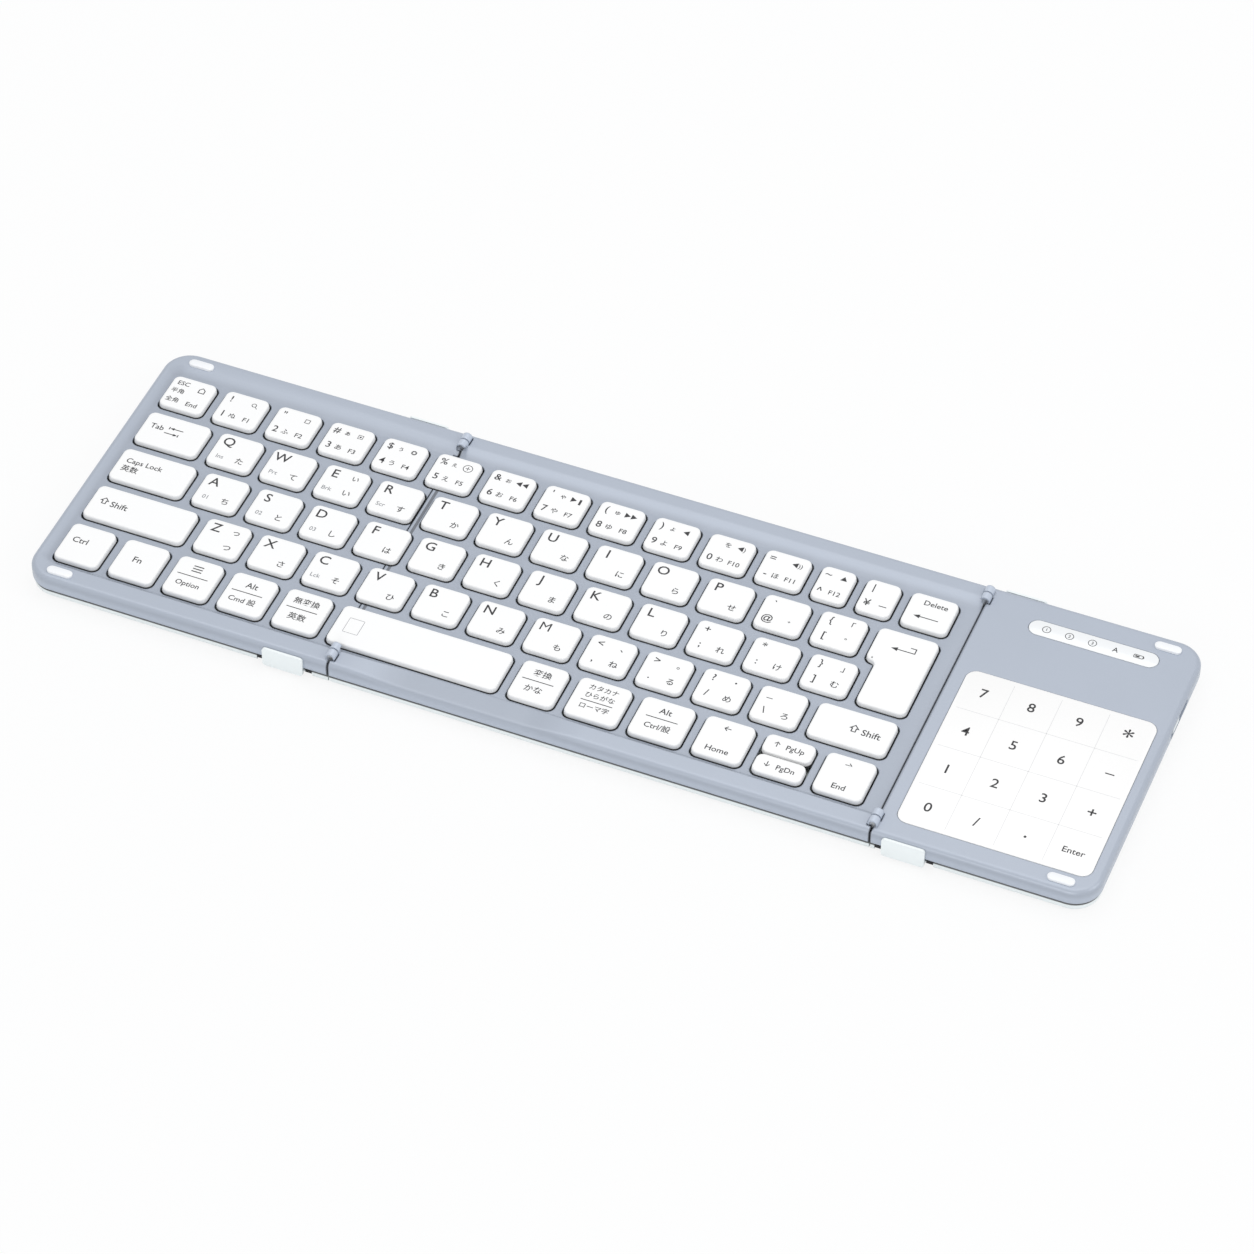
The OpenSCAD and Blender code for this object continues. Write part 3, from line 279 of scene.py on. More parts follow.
class TrifoldKeySettings(bpy.types.PropertyGroup):
    """Shape of the caps and their print"""

    corner: FloatProperty(name="Corner radius", description="Corner radius seen from above",
                          default=2.2 * MM, unit="LENGTH")
    edge: FloatProperty(name="Edge rounding", description="Rounding round the top of a cap",
                        default=0.55 * MM, unit="LENGTH")
    flare: FloatProperty(name="Flare", description="How far a cap's foot stands out past its top",
                         default=0.25 * MM, unit="LENGTH")
    wall: FloatProperty(name="Wall", description="Thickness of a cap's wall", default=1.0 * MM,
                        unit="LENGTH")
    print_height: FloatProperty(name="Print height", description="How far the print stands up",
                                default=0.012 * MM, unit="LENGTH")


class TrifoldColourSettings(bpy.types.PropertyGroup):
    """Colours of the finishes"""

    case: FloatVectorProperty(name="Case", description="Satin lacquer of the three cases",
                              default=(0.535, 0.595, 0.70), subtype="COLOR", min=0, max=1)
    keys: FloatVectorProperty(name="Keys", description="Plastic of the caps",
                              default=(0.92, 0.925, 0.93), subtype="COLOR", min=0, max=1)
    white: FloatVectorProperty(name="White parts", description="Plastic of covers and stands",
                               default=(0.86, 0.91, 0.92), subtype="COLOR", min=0, max=1)
    ink: FloatVectorProperty(name="Ink", description="Print on the caps and the touchpad",
                             default=(0.030, 0.030, 0.034), subtype="COLOR", min=0, max=1)
    pale_ink: FloatVectorProperty(name="Pale ink", description="Pale second print on the caps",
                                  default=(0.28, 0.29, 0.31), subtype="COLOR", min=0, max=1)
    pad: FloatVectorProperty(name="Touchpad", description="Surface of the touchpad",
                             default=(0.93, 0.93, 0.93), subtype="COLOR", min=0, max=1)


class TrifoldStageSettings(bpy.types.PropertyGroup):
    """Camera and lamps"""

    camera_place: FloatVectorProperty(name="Camera", description="Where the camera stands",
                                      default=(0.36012, -0.88173, 0.99276), unit="LENGTH")
    camera_turn: FloatVectorProperty(name="Camera turn", description="How the camera is turned",
                                     default=(math.radians(43.8396), math.radians(-0.3389),
                                              math.radians(22.3058)), subtype="EULER")
    lens: FloatProperty(name="Lens", description="Focal length for a 36 mm sensor", default=143.2)
    top_light: FloatProperty(name="Top light", description="Power of the large lamp overhead",
                             default=5.5, unit="POWER")
    side_light: FloatProperty(name="Side light", description="Power of the lamp at the right",
                              default=2.0, unit="POWER")
    front_light: FloatProperty(name="Front light", description="Power of the lamp in front",
                               default=4.0, unit="POWER")
    sky: FloatProperty(name="Sky", description="Strength of the light from all sides", default=0.70)


# ---- Materials ----


def add_node(tree, kind, inputs=None, **settings):
    """Adds a node. Each input gets its value, or is joined to the output given for it."""
    made = tree.nodes.new(kind)
    for name, value in settings.items():
        setattr(made, name, value)
    for socket, value in (inputs or {}).items():
        if isinstance(value, bpy.types.NodeSocket):
            tree.links.new(value, made.inputs[socket])
        else:
            made.inputs[socket].default_value = value
    return made


def maths(tree, operation, *values):
    """The output of a maths node on numbers and outputs."""
    node = add_node(tree, "ShaderNodeMath", dict(enumerate(values)), operation=operation)
    return node.outputs[0]


def first_node(tree, kind):
    return next(n for n in tree.nodes if n.type == kind)


def base_colour(made):
    """A material's tree, the colour input of its shader, and the output that feeds it."""
    tree = made.node_tree
    socket = tree.nodes["Principled BSDF"].inputs["Base Color"]
    return tree, socket, socket.links[0].from_socket


def finish_material(name, colour, roughness, grain=0.0004, depth=0.000006, cloud=0.02,
                    metallic=0.0, coat=0.0, bevel=0.0, coat_roughness=0.1):
    """A moulded or painted surface: fine grain in its bump, and soft clouds in its colour."""
    made = bpy.data.materials.new(name)
    made.use_nodes = True
    tree = made.node_tree
    shader = tree.nodes["Principled BSDF"]
    for socket, value in (("Roughness", roughness), ("Metallic", metallic),
                          ("Coat Weight", coat), ("Coat Roughness", coat_roughness)):
        shader.inputs[socket].default_value = value
    where = add_node(tree, "ShaderNodeTexCoord").outputs["Object"]
    clouds = add_node(tree, "ShaderNodeTexNoise", {"Vector": where, "Scale": 45.0, "Detail": 3.0})
    darker = (*[c * (1 - cloud) for c in colour], 1)
    lighter = (*[min(1.0, c * (1 + cloud)) for c in colour], 1)
    mix = add_node(tree, "ShaderNodeMix",
                   {"A": darker, "B": lighter, "Factor": clouds.outputs["Fac"]}, data_type="RGBA")
    tree.links.new(mix.outputs["Result"], shader.inputs["Base Color"])
    grains = add_node(tree, "ShaderNodeTexNoise",
                      {"Vector": where, "Scale": 1.0 / grain, "Detail": 2.0})
    bump = add_node(tree, "ShaderNodeBump",
                    {"Strength": 0.6, "Distance": depth, "Height": grains.outputs["Fac"]})
    if bevel:
        soft = add_node(tree, "ShaderNodeBevel", {"Radius": bevel}, samples=6)
        tree.links.new(soft.outputs["Normal"], bump.inputs["Normal"])
    tree.links.new(bump.outputs["Normal"], shader.inputs["Normal"])
    return made


def paint_shade_by_height(made, steps):
    """Paints shade into a finish by height. Steps are pairs of a height in millimetres and a share.
    """
    tree, socket, colour = base_colour(made)
    where = first_node(tree, "TEX_COORD").outputs["Object"]
    split = add_node(tree, "ShaderNodeSeparateXYZ", {"Vector": where})
    share = maths(tree, "MULTIPLY", split.outputs["Z"], 1 / (RAMP_REACH * MM))
    ramp = add_node(tree, "ShaderNodeValToRGB", {"Fac": share})
    ramp.color_ramp.interpolation = "EASE"
    while len(ramp.color_ramp.elements) < len(steps):
        ramp.color_ramp.elements.new(0.5)
    for element, (height, level) in zip(ramp.color_ramp.elements, steps):
        element.position = height / RAMP_REACH
        element.color = (level, level, level, 1)
    mix = add_node(tree, "ShaderNodeMix",
                   {"Factor": 1.0, "A": colour, "B": ramp.outputs["Color"]},
                   data_type="RGBA", blend_type="MULTIPLY")
    tree.links.new(mix.outputs["Result"], socket)


def paint_fold_shade(made, folds):
    """Paints shade on the narrow faces on both sides of each fold, as dark as the shadow in the gap
    between them.
    """
    tree, socket, colour = base_colour(made)
    split = first_node(tree, "SEPXYZ")
    low = maths(tree, "LESS_THAN", split.outputs["Z"], FOLD_TOP * MM)
    near = [maths(tree, "COMPARE", split.outputs["X"], x, FOLD_HALF * MM) for x in folds]
    inside = maths(tree, "MULTIPLY", maths(tree, "MAXIMUM", *near), low)
    mix = add_node(tree, "ShaderNodeMix", {"Factor": inside, "A": colour, "B": FOLD_PAINTED_SHADE},
                   data_type="RGBA")
    tree.links.new(mix.outputs["Result"], socket)


def speckled_material(name, colour, fleck, roughness, size):
    """A board or foil: flecks of a second colour on the first."""
    made = finish_material(name, colour, roughness)
    tree = made.node_tree
    where = first_node(tree, "TEX_COORD").outputs["Object"]
    cells = add_node(tree, "ShaderNodeTexVoronoi", {"Vector": where, "Scale": 1.0 / size})
    steps = add_node(tree, "ShaderNodeValToRGB", {"Fac": cells.outputs["Distance"]})
    steps.color_ramp.elements[0].color = (*fleck, 1)
    steps.color_ramp.elements[1].color = (*colour, 1)
    steps.color_ramp.elements[1].position = 0.25
    tree.links.new(steps.outputs["Color"], first_node(tree, "MIX").inputs["B"])
    return made


def materials():
    """Each finish of the keyboard, made once."""
    if "Panel lacquer" in bpy.data.materials:
        return {m.name: m for m in bpy.data.materials}
    c = bpy.context.scene.trifold_colours
    lacquer = finish_material("Panel lacquer", c.case, 0.38, 0.00025, 0.000003, 0.025,
                              metallic=0.18, coat=0.4, bevel=0.0005, coat_roughness=0.16)
    # Painted shade on the cases' walls, feet and webs, and a painted highlight on the hinge barrels
    paint_shade_by_height(lacquer, CASE_PAINTED_SHADE)
    # Painted shade on the faces inside the folds
    paint_fold_shade(lacquer, [sum(corner.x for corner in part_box(pins)) / 2
                           for pins in ("left_hinge_pins", "right_hinge_pins")])
    plastic = finish_material("Key plastic", c.keys, 0.48, 0.0003, 0.000004, 0.008)
    # Painted shade on the caps below the web
    paint_shade_by_height(plastic, KEY_PAINTED_SHADE)
    finish_material("White plastic", c.white, 0.30, 0.0005, 0.000003, 0.01)
    cover = finish_material("Cover plastic", c.white, 0.34, 0.0005, 0.000004, 0.01)
    # Painted shadow along the top of the covers' edges
    paint_shade_by_height(cover, COVER_PAINTED_SHADE)
    # Near black: painted shade for the blocks in the stands' slots
    finish_material("Stop rubber", (0.012, 0.012, 0.014), 0.6, 0.0004, 0.00001, 0.05)
    finish_material("Ink", c.ink, 0.55, 0.0002, 0.000002, 0.04)
    finish_material("Pale ink", c.pale_ink, 0.55, 0.0002, 0.000002, 0.04)
    finish_material("Grid ink", (0.68, 0.69, 0.70), 0.55, 0.0002, 0.000002, 0.02)
    finish_material("Pad surface", c.pad, 0.38, 0.0002, 0.000002, 0.006, coat=0.15)
    finish_material("Window plastic", (0.86, 0.88, 0.90), 0.18, 0.001, 0.000002, 0.01, coat=0.5)
    finish_material("Bumper rubber", (0.88, 0.90, 0.93), 0.42, 0.0005, 0.00001, 0.02)
    finish_material("Foot rubber", (0.62, 0.65, 0.68), 0.65, 0.0004, 0.00002, 0.04)
    finish_material("Steel", (0.60, 0.61, 0.62), 0.28, 0.0002, 0.000004, 0.03, metallic=1.0)
    finish_material("Plate steel", (0.52, 0.53, 0.54), 0.42, 0.0004, 0.000006, 0.05, metallic=1.0)
    finish_material("Film", (0.70, 0.78, 0.74), 0.25, 0.002, 0.000004, 0.03)
    finish_material("Dome rubber", (0.75, 0.77, 0.78), 0.5, 0.0005, 0.00001, 0.03)
    speckled_material("Circuit board", (0.02, 0.16, 0.07), (0.30, 0.26, 0.10), 0.4, 0.0016)
    speckled_material("Cell foil", (0.66, 0.66, 0.64), (0.58, 0.58, 0.57), 0.3, 0.0012)
    return {m.name: m for m in bpy.data.materials}


# ---- Mesh helpers ----


def piece(name, mesh, material, body, nodes=(), sharp=32.0):
    """Links a finished mesh, and says what it is made of and what it rides on."""
    made = bpy.data.objects.new(name, mesh)
    bpy.context.scene.collection.objects.link(made)
    if not mesh.materials:
        for m in material if isinstance(material, (list, tuple)) else [material]:
            mesh.materials.append(m)
    mesh.shade_smooth()
    mesh.set_sharp_from_angle(angle=math.radians(sharp))
    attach(made, body)
    if nodes:
        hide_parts(*nodes)
    return made


def mesh_from(bm, name):
    mesh = bpy.data.meshes.new(name)
    bm.to_mesh(mesh)
    bm.free()
    return mesh


def final_mesh(holder):
    """An object's mesh after its modifiers."""
    bpy.context.view_layer.update()
    graph = bpy.context.evaluated_depsgraph_get()
    return bpy.data.meshes.new_from_object(holder.evaluated_get(graph))


def merged_copy(node, name):
    """The node's own mesh with its loose triangles joined, so that its curves shade smoothly."""
    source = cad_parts[node]
    bm = bmesh.new()
    bm.from_mesh(source.data)
    bmesh.ops.remove_doubles(bm, verts=bm.verts, dist=1e-7)
    return mesh_from(bm, name)


def level_regions(bm, limit=0.004):
    """For each face, the area of the level region that it belongs to."""
    area = {}
    for start in bm.faces:
        if start in area:
            continue
        area[start] = 0.0
        region, todo = [], [start]
        while todo:
            face = todo.pop()
            region.append(face)
            for edge in face.edges:
                for other in edge.link_faces:
                    if other not in area and other.normal.angle(start.normal, math.pi) < limit:
                        area[other] = 0.0
                        todo.append(other)
        total = sum(f.calc_area() for f in region)
        for face in region:
            area[face] = total
    return area


def set_soft_normals(mesh, limit):
    """Shades a mesh smooth so that level faces stay level and the curves between them bend."""
    bm = bmesh.new()
    bm.from_mesh(mesh)
    bm.normal_update()
    area = level_regions(bm)
    normals = [Vector((0, 0, 1))] * len(mesh.loops)
    for vert in bm.verts:
        todo = set(vert.link_loops)
        while todo:
            fan, reach = [], [todo.pop()]
            while reach:
                loop = reach.pop()
                fan.append(loop)
                for other in list(todo):
                    shared = set(loop.face.edges) & set(other.face.edges)
                    if shared and loop.face.normal.angle(other.face.normal, 0.0) < limit:
                        todo.discard(other)
                        reach.append(other)
            total = Vector()
            for loop in fan:
                total += loop.face.normal * (area[loop.face] * max(loop.calc_angle(), 1e-4))
            for loop in fan:
                normals[loop.index] = total.normalized() if total.length else loop.face.normal
    bm.free()
    mesh.shade_smooth()
    mesh.normals_split_custom_set([tuple(n) for n in normals])


def rounded_ring(corners, radius, inset, steps):
    """Points round an outline of right angles, moved inwards, with each corner an arc."""
    n = len(corners)
    points = []
    for k in range(n):
        here = Vector(corners[k])
        into = (here - Vector(corners[k - 1])).normalized()
        out = (Vector(corners[(k + 1) % n]) - here).normalized()
        n1 = Vector((-into.y, into.x))
        n2 = Vector((-out.y, out.x))
        v = here + inset * (n1 + n2)
        convex = into.x * out.y - into.y * out.x > 0
        r = max(radius - inset, 0.05) if convex else radius * 0.6 + inset
        centre = v + r * (n1 + n2) if convex else v - r * (n1 + n2)
        first = -n1 if convex else n1
        a0 = math.atan2(first.y, first.x)
        turn = math.pi / 2 if convex else -math.pi / 2
        for s in range(steps + 1):
            a = a0 + turn * s / steps
            points.append((centre.x + r * math.cos(a), centre.y + r * math.sin(a)))
    return points


def loft(bm, rings):
    """Joins rings of (points, z) in millimetres by quads, and closes the ends."""
    made = [[bm.verts.new((x * MM, y * MM, z * MM)) for x, y in pts] for pts, z in rings]
    for a, b in zip(made, made[1:]):
        for k in range(len(a)):
            q = (k + 1) % len(a)
            bm.faces.new((a[k], a[q], b[q], b[k]))
    bm.faces.new(list(reversed(made[0])))
    bm.faces.new(made[-1])


def add_cap(bm, corners, settings):
    """A hollow cap whose outline is given by its corners."""
    radius, edge = settings.corner / MM, settings.edge / MM
    flare, wall = settings.flare / MM, settings.wall / MM
    steps = 5

    def ring(inset):
        return rounded_ring(corners, radius, inset, steps)

    rings = [(ring(wall + 0.25), CAP_TOP - wall), (ring(wall), CAP_Z), (ring(0.12), CAP_Z),
             (ring(0.0), CAP_Z + 0.12), (ring(flare), CAP_TOP - edge)]
    for s in range(1, steps + 1):
        a = math.pi / 2 * s / steps
        rings.append((ring(flare + edge * (1 - math.cos(a))), CAP_TOP - edge + edge * math.sin(a)))
    rings.append((ring(flare + edge + 0.5), CAP_TOP))
    loft(bm, rings)


def new_tree(name, floats=(), **others):
    """A Geometry Nodes tree with its inputs: a geometry, floats with defaults, others by kind."""
    tree = bpy.data.node_groups.new(name, "GeometryNodeTree")
    face = tree.interface
    face.new_socket("Geometry", in_out="INPUT", socket_type="NodeSocketGeometry")
    for label, value in floats:
        socket = face.new_socket(label, in_out="INPUT", socket_type="NodeSocketFloat")
        socket.default_value = value
    for label, kind in others.items():
        face.new_socket(label, in_out="INPUT", socket_type="NodeSocket" + kind)
    face.new_socket("Geometry", in_out="OUTPUT", socket_type="NodeSocketGeometry")
    return tree, add_node(tree, "NodeGroupInput").outputs


def close_tree(tree, geometry, finish):
    """Makes the instances real, gives them their finish, and hands them out."""
    real = add_node(tree, "GeometryNodeRealizeInstances", {"Geometry": geometry})
    paint = add_node(tree, "GeometryNodeSetMaterial",
                     {"Geometry": real.outputs["Geometry"], "Material": finish})
    add_node(tree, "NodeGroupOutput", {"Geometry": paint.outputs["Geometry"]})
    return tree


def on_points(tree, points, instance):
    """The instances of a geometry on each point of a mesh."""
    spots = add_node(tree, "GeometryNodeMeshToPoints", {"Mesh": points})
    place = add_node(tree, "GeometryNodeInstanceOnPoints",
                     {"Points": spots.outputs["Points"], "Instance": instance})
    return place.outputs["Instances"]


def cap_tree():
    """Geometry Nodes: one cap on each point of a mesh."""
    tree, given = new_tree("Cap row", Cap="Object", Plastic="Material")
    cap = add_node(tree, "GeometryNodeObjectInfo", {"Object": given["Cap"]})
    caps = on_points(tree, given["Geometry"], cap.outputs["Geometry"])
    return close_tree(tree, caps, given["Plastic"])


def box_corners(x0, x1, y0, y1):
    return [(x0, y0), (x1, y0), (x1, y1), (x0, y1)]


def bar(bm, x0, x1, y0, y1, z0, z1):
    loft(bm, [(box_corners(x0, x1, y0, y1), z0), (box_corners(x0, x1, y0, y1), z1)])


# ---- Print ----


def add_text(bm, text, x, y, z, size, height):
    """Sets a mark as a thin raised print, with x at its middle and y halfway up a capital."""
    curve = bpy.data.curves.new("Mark", "FONT")
    curve.body = text
    curve.size = size * MM
    curve.resolution_u = 3
    # The narrow corners of an M would cross
    curve.offset = 0 if text == "M" else BOLDER * size * MM
    curve.extrude = height / 2
    holder = bpy.data.objects.new("Mark", curve)
    bpy.context.scene.collection.objects.link(holder)
    mesh = final_mesh(holder)
    bpy.data.objects.remove(holder)
    bpy.data.curves.remove(curve)
    if not mesh.vertices:
        bpy.data.meshes.remove(mesh)
        return
    xs = [v.co.x for v in mesh.vertices]
    mesh.transform(Matrix.Translation((
        x * MM - (min(xs) + max(xs)) / 2, (y - HALF_CAPITAL * size) * MM, z * MM + height / 2)))
    bm.from_mesh(mesh)
    bpy.data.meshes.remove(mesh)


def add_arrow(bm, x, y, length, z, height, way=-1, stop=False, hook=0.0):
    """An arrow to the left (way -1) or right (1), with a stop at its tip or a hook at its tail."""
    w, tip = 0.3, 1.9 if length > 5 else 1.3
    z1 = z + height / MM
    end = x + way * (length / 2 - (w if stop else 0))
    neck, tail = end - way * tip, x - way * length / 2
    bar(bm, min(neck, tail), max(neck, tail), y - w / 2, y + w / 2, z, z1)
    head = [(end, y), (neck, y + way * tip * 0.38), (neck, y - way * tip * 0.38)]
    loft(bm, [(head, z), (head, z1)])
    if stop:
        bar(bm, min(end, end + way * w), max(end, end + way * w), y - 0.5, y + 0.5, z, z1)
    if hook:
        bar(bm, tail - w, tail, y + w / 2, y + hook, z, z1)
        bar(bm, tail - 1.8, tail - w, y + hook - w, y + hook, z, z1)


def add_ring(bm, x, y, radius, line, z, height, steps=20):
    """A printed ring."""
    z1 = z + height / MM
    loops = []
    for r, level in ((radius, z), (radius, z1), (radius - line, z1), (radius - line, z)):
        loops.append([bm.verts.new(((x + r * math.cos(math.tau * k / steps)) * MM,
                                    (y + r * math.sin(math.tau * k / steps)) * MM, level * MM))
                      for k in range(steps)])
    for a, b in zip(loops, loops[1:] + loops[:1]):
        for k in range(steps):
            q = (k + 1) % steps
            bm.faces.new((a[k], a[q], b[q], b[k]))


def add_frame(bm, x, y, w, d, line, z, height):
    """A printed rectangle."""
    z1 = z + height / MM
    for k in (-1, 1):
        bar(bm, x - w / 2, x + w / 2, y + k * d / 2 - line / 2, y + k * d / 2 + line / 2, z, z1)
        bar(bm, x + k * w / 2 - line / 2, x + k * w / 2 + line / 2, y - d / 2 + line / 2,
            y + d / 2 - line / 2, z, z1)


def add_marks(bms, marks, x0, y1, z, height):
    for text, u, v, size, tone in marks:
        bm, x, y = bms[tone], x0 + u, y1 - v
        z1 = z + height / MM
        if text == "line":
            bar(bm, x - size / 2, x + size / 2, y - 0.14, y + 0.14, z, z1)
        elif text == "arrow":
            add_arrow(bm, x, y, size, z, height)
        elif text == "hook":
            add_arrow(bm, x, y, size, z, height, hook=1.9)
        elif text == "tabs":
            add_arrow(bm, x + 0.3, y + 1.1, size, z, height, way=-1, stop=True)
            add_arrow(bm, x - 0.3, y - 1.1, size, z, height, way=1, stop=True)
        elif text == "minus":
            bar(bm, x - size / 2, x + size / 2, y - 0.19, y + 0.19, z, z1)
        elif text == "dot":
            dot = rounded_ring(box_corners(x - size / 2, x + size / 2, y - size / 2, y + size / 2),
                               size * 0.499, 0.0, 6)
            loft(bm, [(dot, z), (dot, z1)])
        elif text == "ringed":
            add_ring(bm, x, y, size / 2, 0.2, z, height)
        elif text == "search":
            add_ring(bm, x - 0.25, y + 0.25, size * 0.36, 0.22, z, height)
            a, b = x + size * 0.08, y - size * 0.08
            slant = [(a, b - 0.14), (a + 0.75, b - 0.85), (a + 0.88, b - 0.7), (a + 0.14, b)]
            loft(bm, [(slant, z), (slant, z1)])
        elif text == "cell":
            add_frame(bm, x, y, size, size * 0.42, 0.22, z, height)
            bar(bm, x + size / 2 + 0.08, x + size / 2 + 0.3, y - 0.3, y + 0.3, z, z1)
            bar(bm, x - size * 0.36, x + size * 0.12, y - size * 0.1, y + size * 0.1, z, z1)
        elif text == "menu":
            for k in (-1, 0, 1):
                bar(bm, x - size / 2, x + size / 2, y + k - 0.18, y + k + 0.18, z, z1)
        elif text == "frame":
            add_frame(bm, x, y, size, size * 1.24, 0.14, z, height)
        elif text:
            add_text(bm, text, x, y, z, size, height)


def marks_piece(name, bms, body):
    """Turns the dark and pale marks of one body into one piece with two inks."""
    finishes = materials()
    both = bmesh.new()
    for tone, bm in enumerate(bms):
        for face in bm.faces:
            face.material_index = tone
        step = mesh_from(bm, "Step")
        both.from_mesh(step)
        bpy.data.meshes.remove(step)
    return piece(name, mesh_from(both, name), [finishes["Ink"], finishes["Pale ink"]], body)


# ---- Operators ----


class TRIFOLD_OT_stage(bpy.types.Operator):
    """Sets up the camera, the lamps, the pale floor and the sky"""

    bl_idname = "trifold.stage"
    bl_label = "Stage"

    def execute(self, context):
        scene = context.scene
        s = scene.trifold_stage
        camera = bpy.data.cameras.new("Camera")
        camera.lens = s.lens
        camera.sensor_width = 36.0
        camera.clip_start = 0.05
        camera.clip_end = 20.0
        holder = bpy.data.objects.new("Camera", camera)
        holder.location = s.camera_place
        holder.rotation_euler = Euler(s.camera_turn)
        scene.collection.objects.link(holder)
        scene.camera = holder
        scene.view_settings.view_transform = "Standard"

        for name, place, aim, size, power in (
            ("Top light", (-0.1, 0.25, 1.2), (0, 0, 0), 1.4, s.top_light),
            ("Side light", (1.1, 0.1, 0.7), (0, 0, 0), 0.7, s.side_light),
            ("Front light", (0.2, -1.4, 0.45), (0, 0, 0), 0.9, s.front_light),
        ):
            lamp = bpy.data.lights.new(name, "AREA")
            lamp.shape = "DISK"
            lamp.size = size
            lamp.energy = power
            lit = bpy.data.objects.new(name, lamp)
            lit.location = place
            lit.rotation_euler = (Vector(aim) - Vector(place)).to_track_quat("-Z", "Y").to_euler()
            scene.collection.objects.link(lit)

        sky = bpy.data.worlds.new("Sky")
        sky.use_nodes = True
        scene.world = sky
        tree = sky.node_tree
        path = add_node(tree, "ShaderNodeLightPath").outputs
        seen = maths(tree, "MAXIMUM", path["Is Camera Ray"], path["Is Transmission Ray"])
        strength = add_node(tree, "ShaderNodeMix", {"A": s.sky, "B": 1.0, "Factor": seen})
        back = tree.nodes["Background"]
        tree.links.new(strength.outputs["Result"], back.inputs["Strength"])
        back.inputs["Color"].default_value = (1, 1, 1, 1)

        bm = bmesh.new()
        bar(bm, -4000, 4000, -4000, 4000, -5.0, -0.02)
        mesh = mesh_from(bm, "Floor")
        floor = bpy.data.objects.new("Floor", mesh)
        scene.collection.objects.link(floor)
        paint = bpy.data.materials.new("Floor white")
        paint.use_nodes = True
        tree = paint.node_tree
        shader = tree.nodes["Principled BSDF"]
        shader.inputs["Base Color"].default_value = (0.86, 0.87, 0.88, 1)
        shader.inputs["Roughness"].default_value = 0.9
        shader.inputs["Specular IOR Level"].default_value = 0.0
        glow = add_node(tree, "ShaderNodeEmission", {"Strength": 1.0})
        path = add_node(tree, "ShaderNodeLightPath").outputs
        both = add_node(tree, "ShaderNodeMixShader",
                        {0: maths(tree, "MULTIPLY", path["Is Camera Ray"], FLOOR_GLOW),
                         1: shader.outputs[0], 2: glow.outputs[0]})
        tree.links.new(both.outputs[0], tree.nodes["Material Output"].inputs["Surface"])
        mesh.materials.append(paint)
        return {"FINISHED"}


class TRIFOLD_OT_cases(bpy.types.Operator):
    """Gives the cases, covers and stands smooth surfaces and their finishes"""

    bl_idname = "trifold.cases"
    bl_label = "Cases"

    def execute(self, context):
        m = materials()
        for node, body, finish, slot in (
            ("left_case", "left_panel", "Panel lacquer", "case_plastic"),
            ("centre_case", "centre_panel", "Panel lacquer", "case_plastic"),
            ("right_case", "right_panel", "Panel lacquer", "case_plastic"),
            ("left_cover", "left_panel", "Cover plastic", "white_plastic"),
            ("centre_cover", "centre_panel", "Cover plastic", "white_plastic"),
            ("right_cover", "right_panel", "Cover plastic", "white_plastic"),
            ("left_stand", "left_stand_body", "White plastic", "white_plastic"),
            ("right_stand", "right_stand_body", "White plastic", "white_plastic"),
        ):
            name = node + "_skin"
            made = piece(name, merged_copy(node, name), m[finish], body, [node])
            set_soft_normals(made.data, math.radians(40))
        return {"FINISHED"}


class TRIFOLD_OT_slot_shade(bpy.types.Operator):
    """Puts near-black blocks beside the tabs of the stands, under the edges of the cases, as
    painted shade in the slots
    """

    bl_idname = "trifold.stops"
    bl_label = "Painted slot shade"

    def execute(self, context):
        m = materials()
        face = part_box("left_cover")[1].y / MM
        foot, shoulder, top = SLOT_SHADE_HEIGHTS
        c = SLOT_SHADE_CHAMFER
        for node, body in (("left_stand", "left_panel"), ("right_stand", "right_panel")):
            lo, hi = (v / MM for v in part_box(node))
            bm = bmesh.new()
            for side in (-1, 1):
                y0, y1 = sorted((side * (face - SLOT_SHADE_IN), side * (face + SLOT_SHADE_OUT)))
                for x0, x1 in ((lo.x - SLOT_SHADE_FAR, lo.x - SLOT_SHADE_NEAR),
                               (hi.x + SLOT_SHADE_NEAR, hi.x + SLOT_SHADE_FAR)):
                    block = box_corners(x0, x1, y0, y1)
                    loft(bm, [(block, foot), (block, shoulder),
                              (box_corners(x0 + c, x1 - c, y0 + c, y1 - c), top)])
            name = node + "_stops"
            piece(name, mesh_from(bm, name), m["Stop rubber"], body)
        return {"FINISHED"}


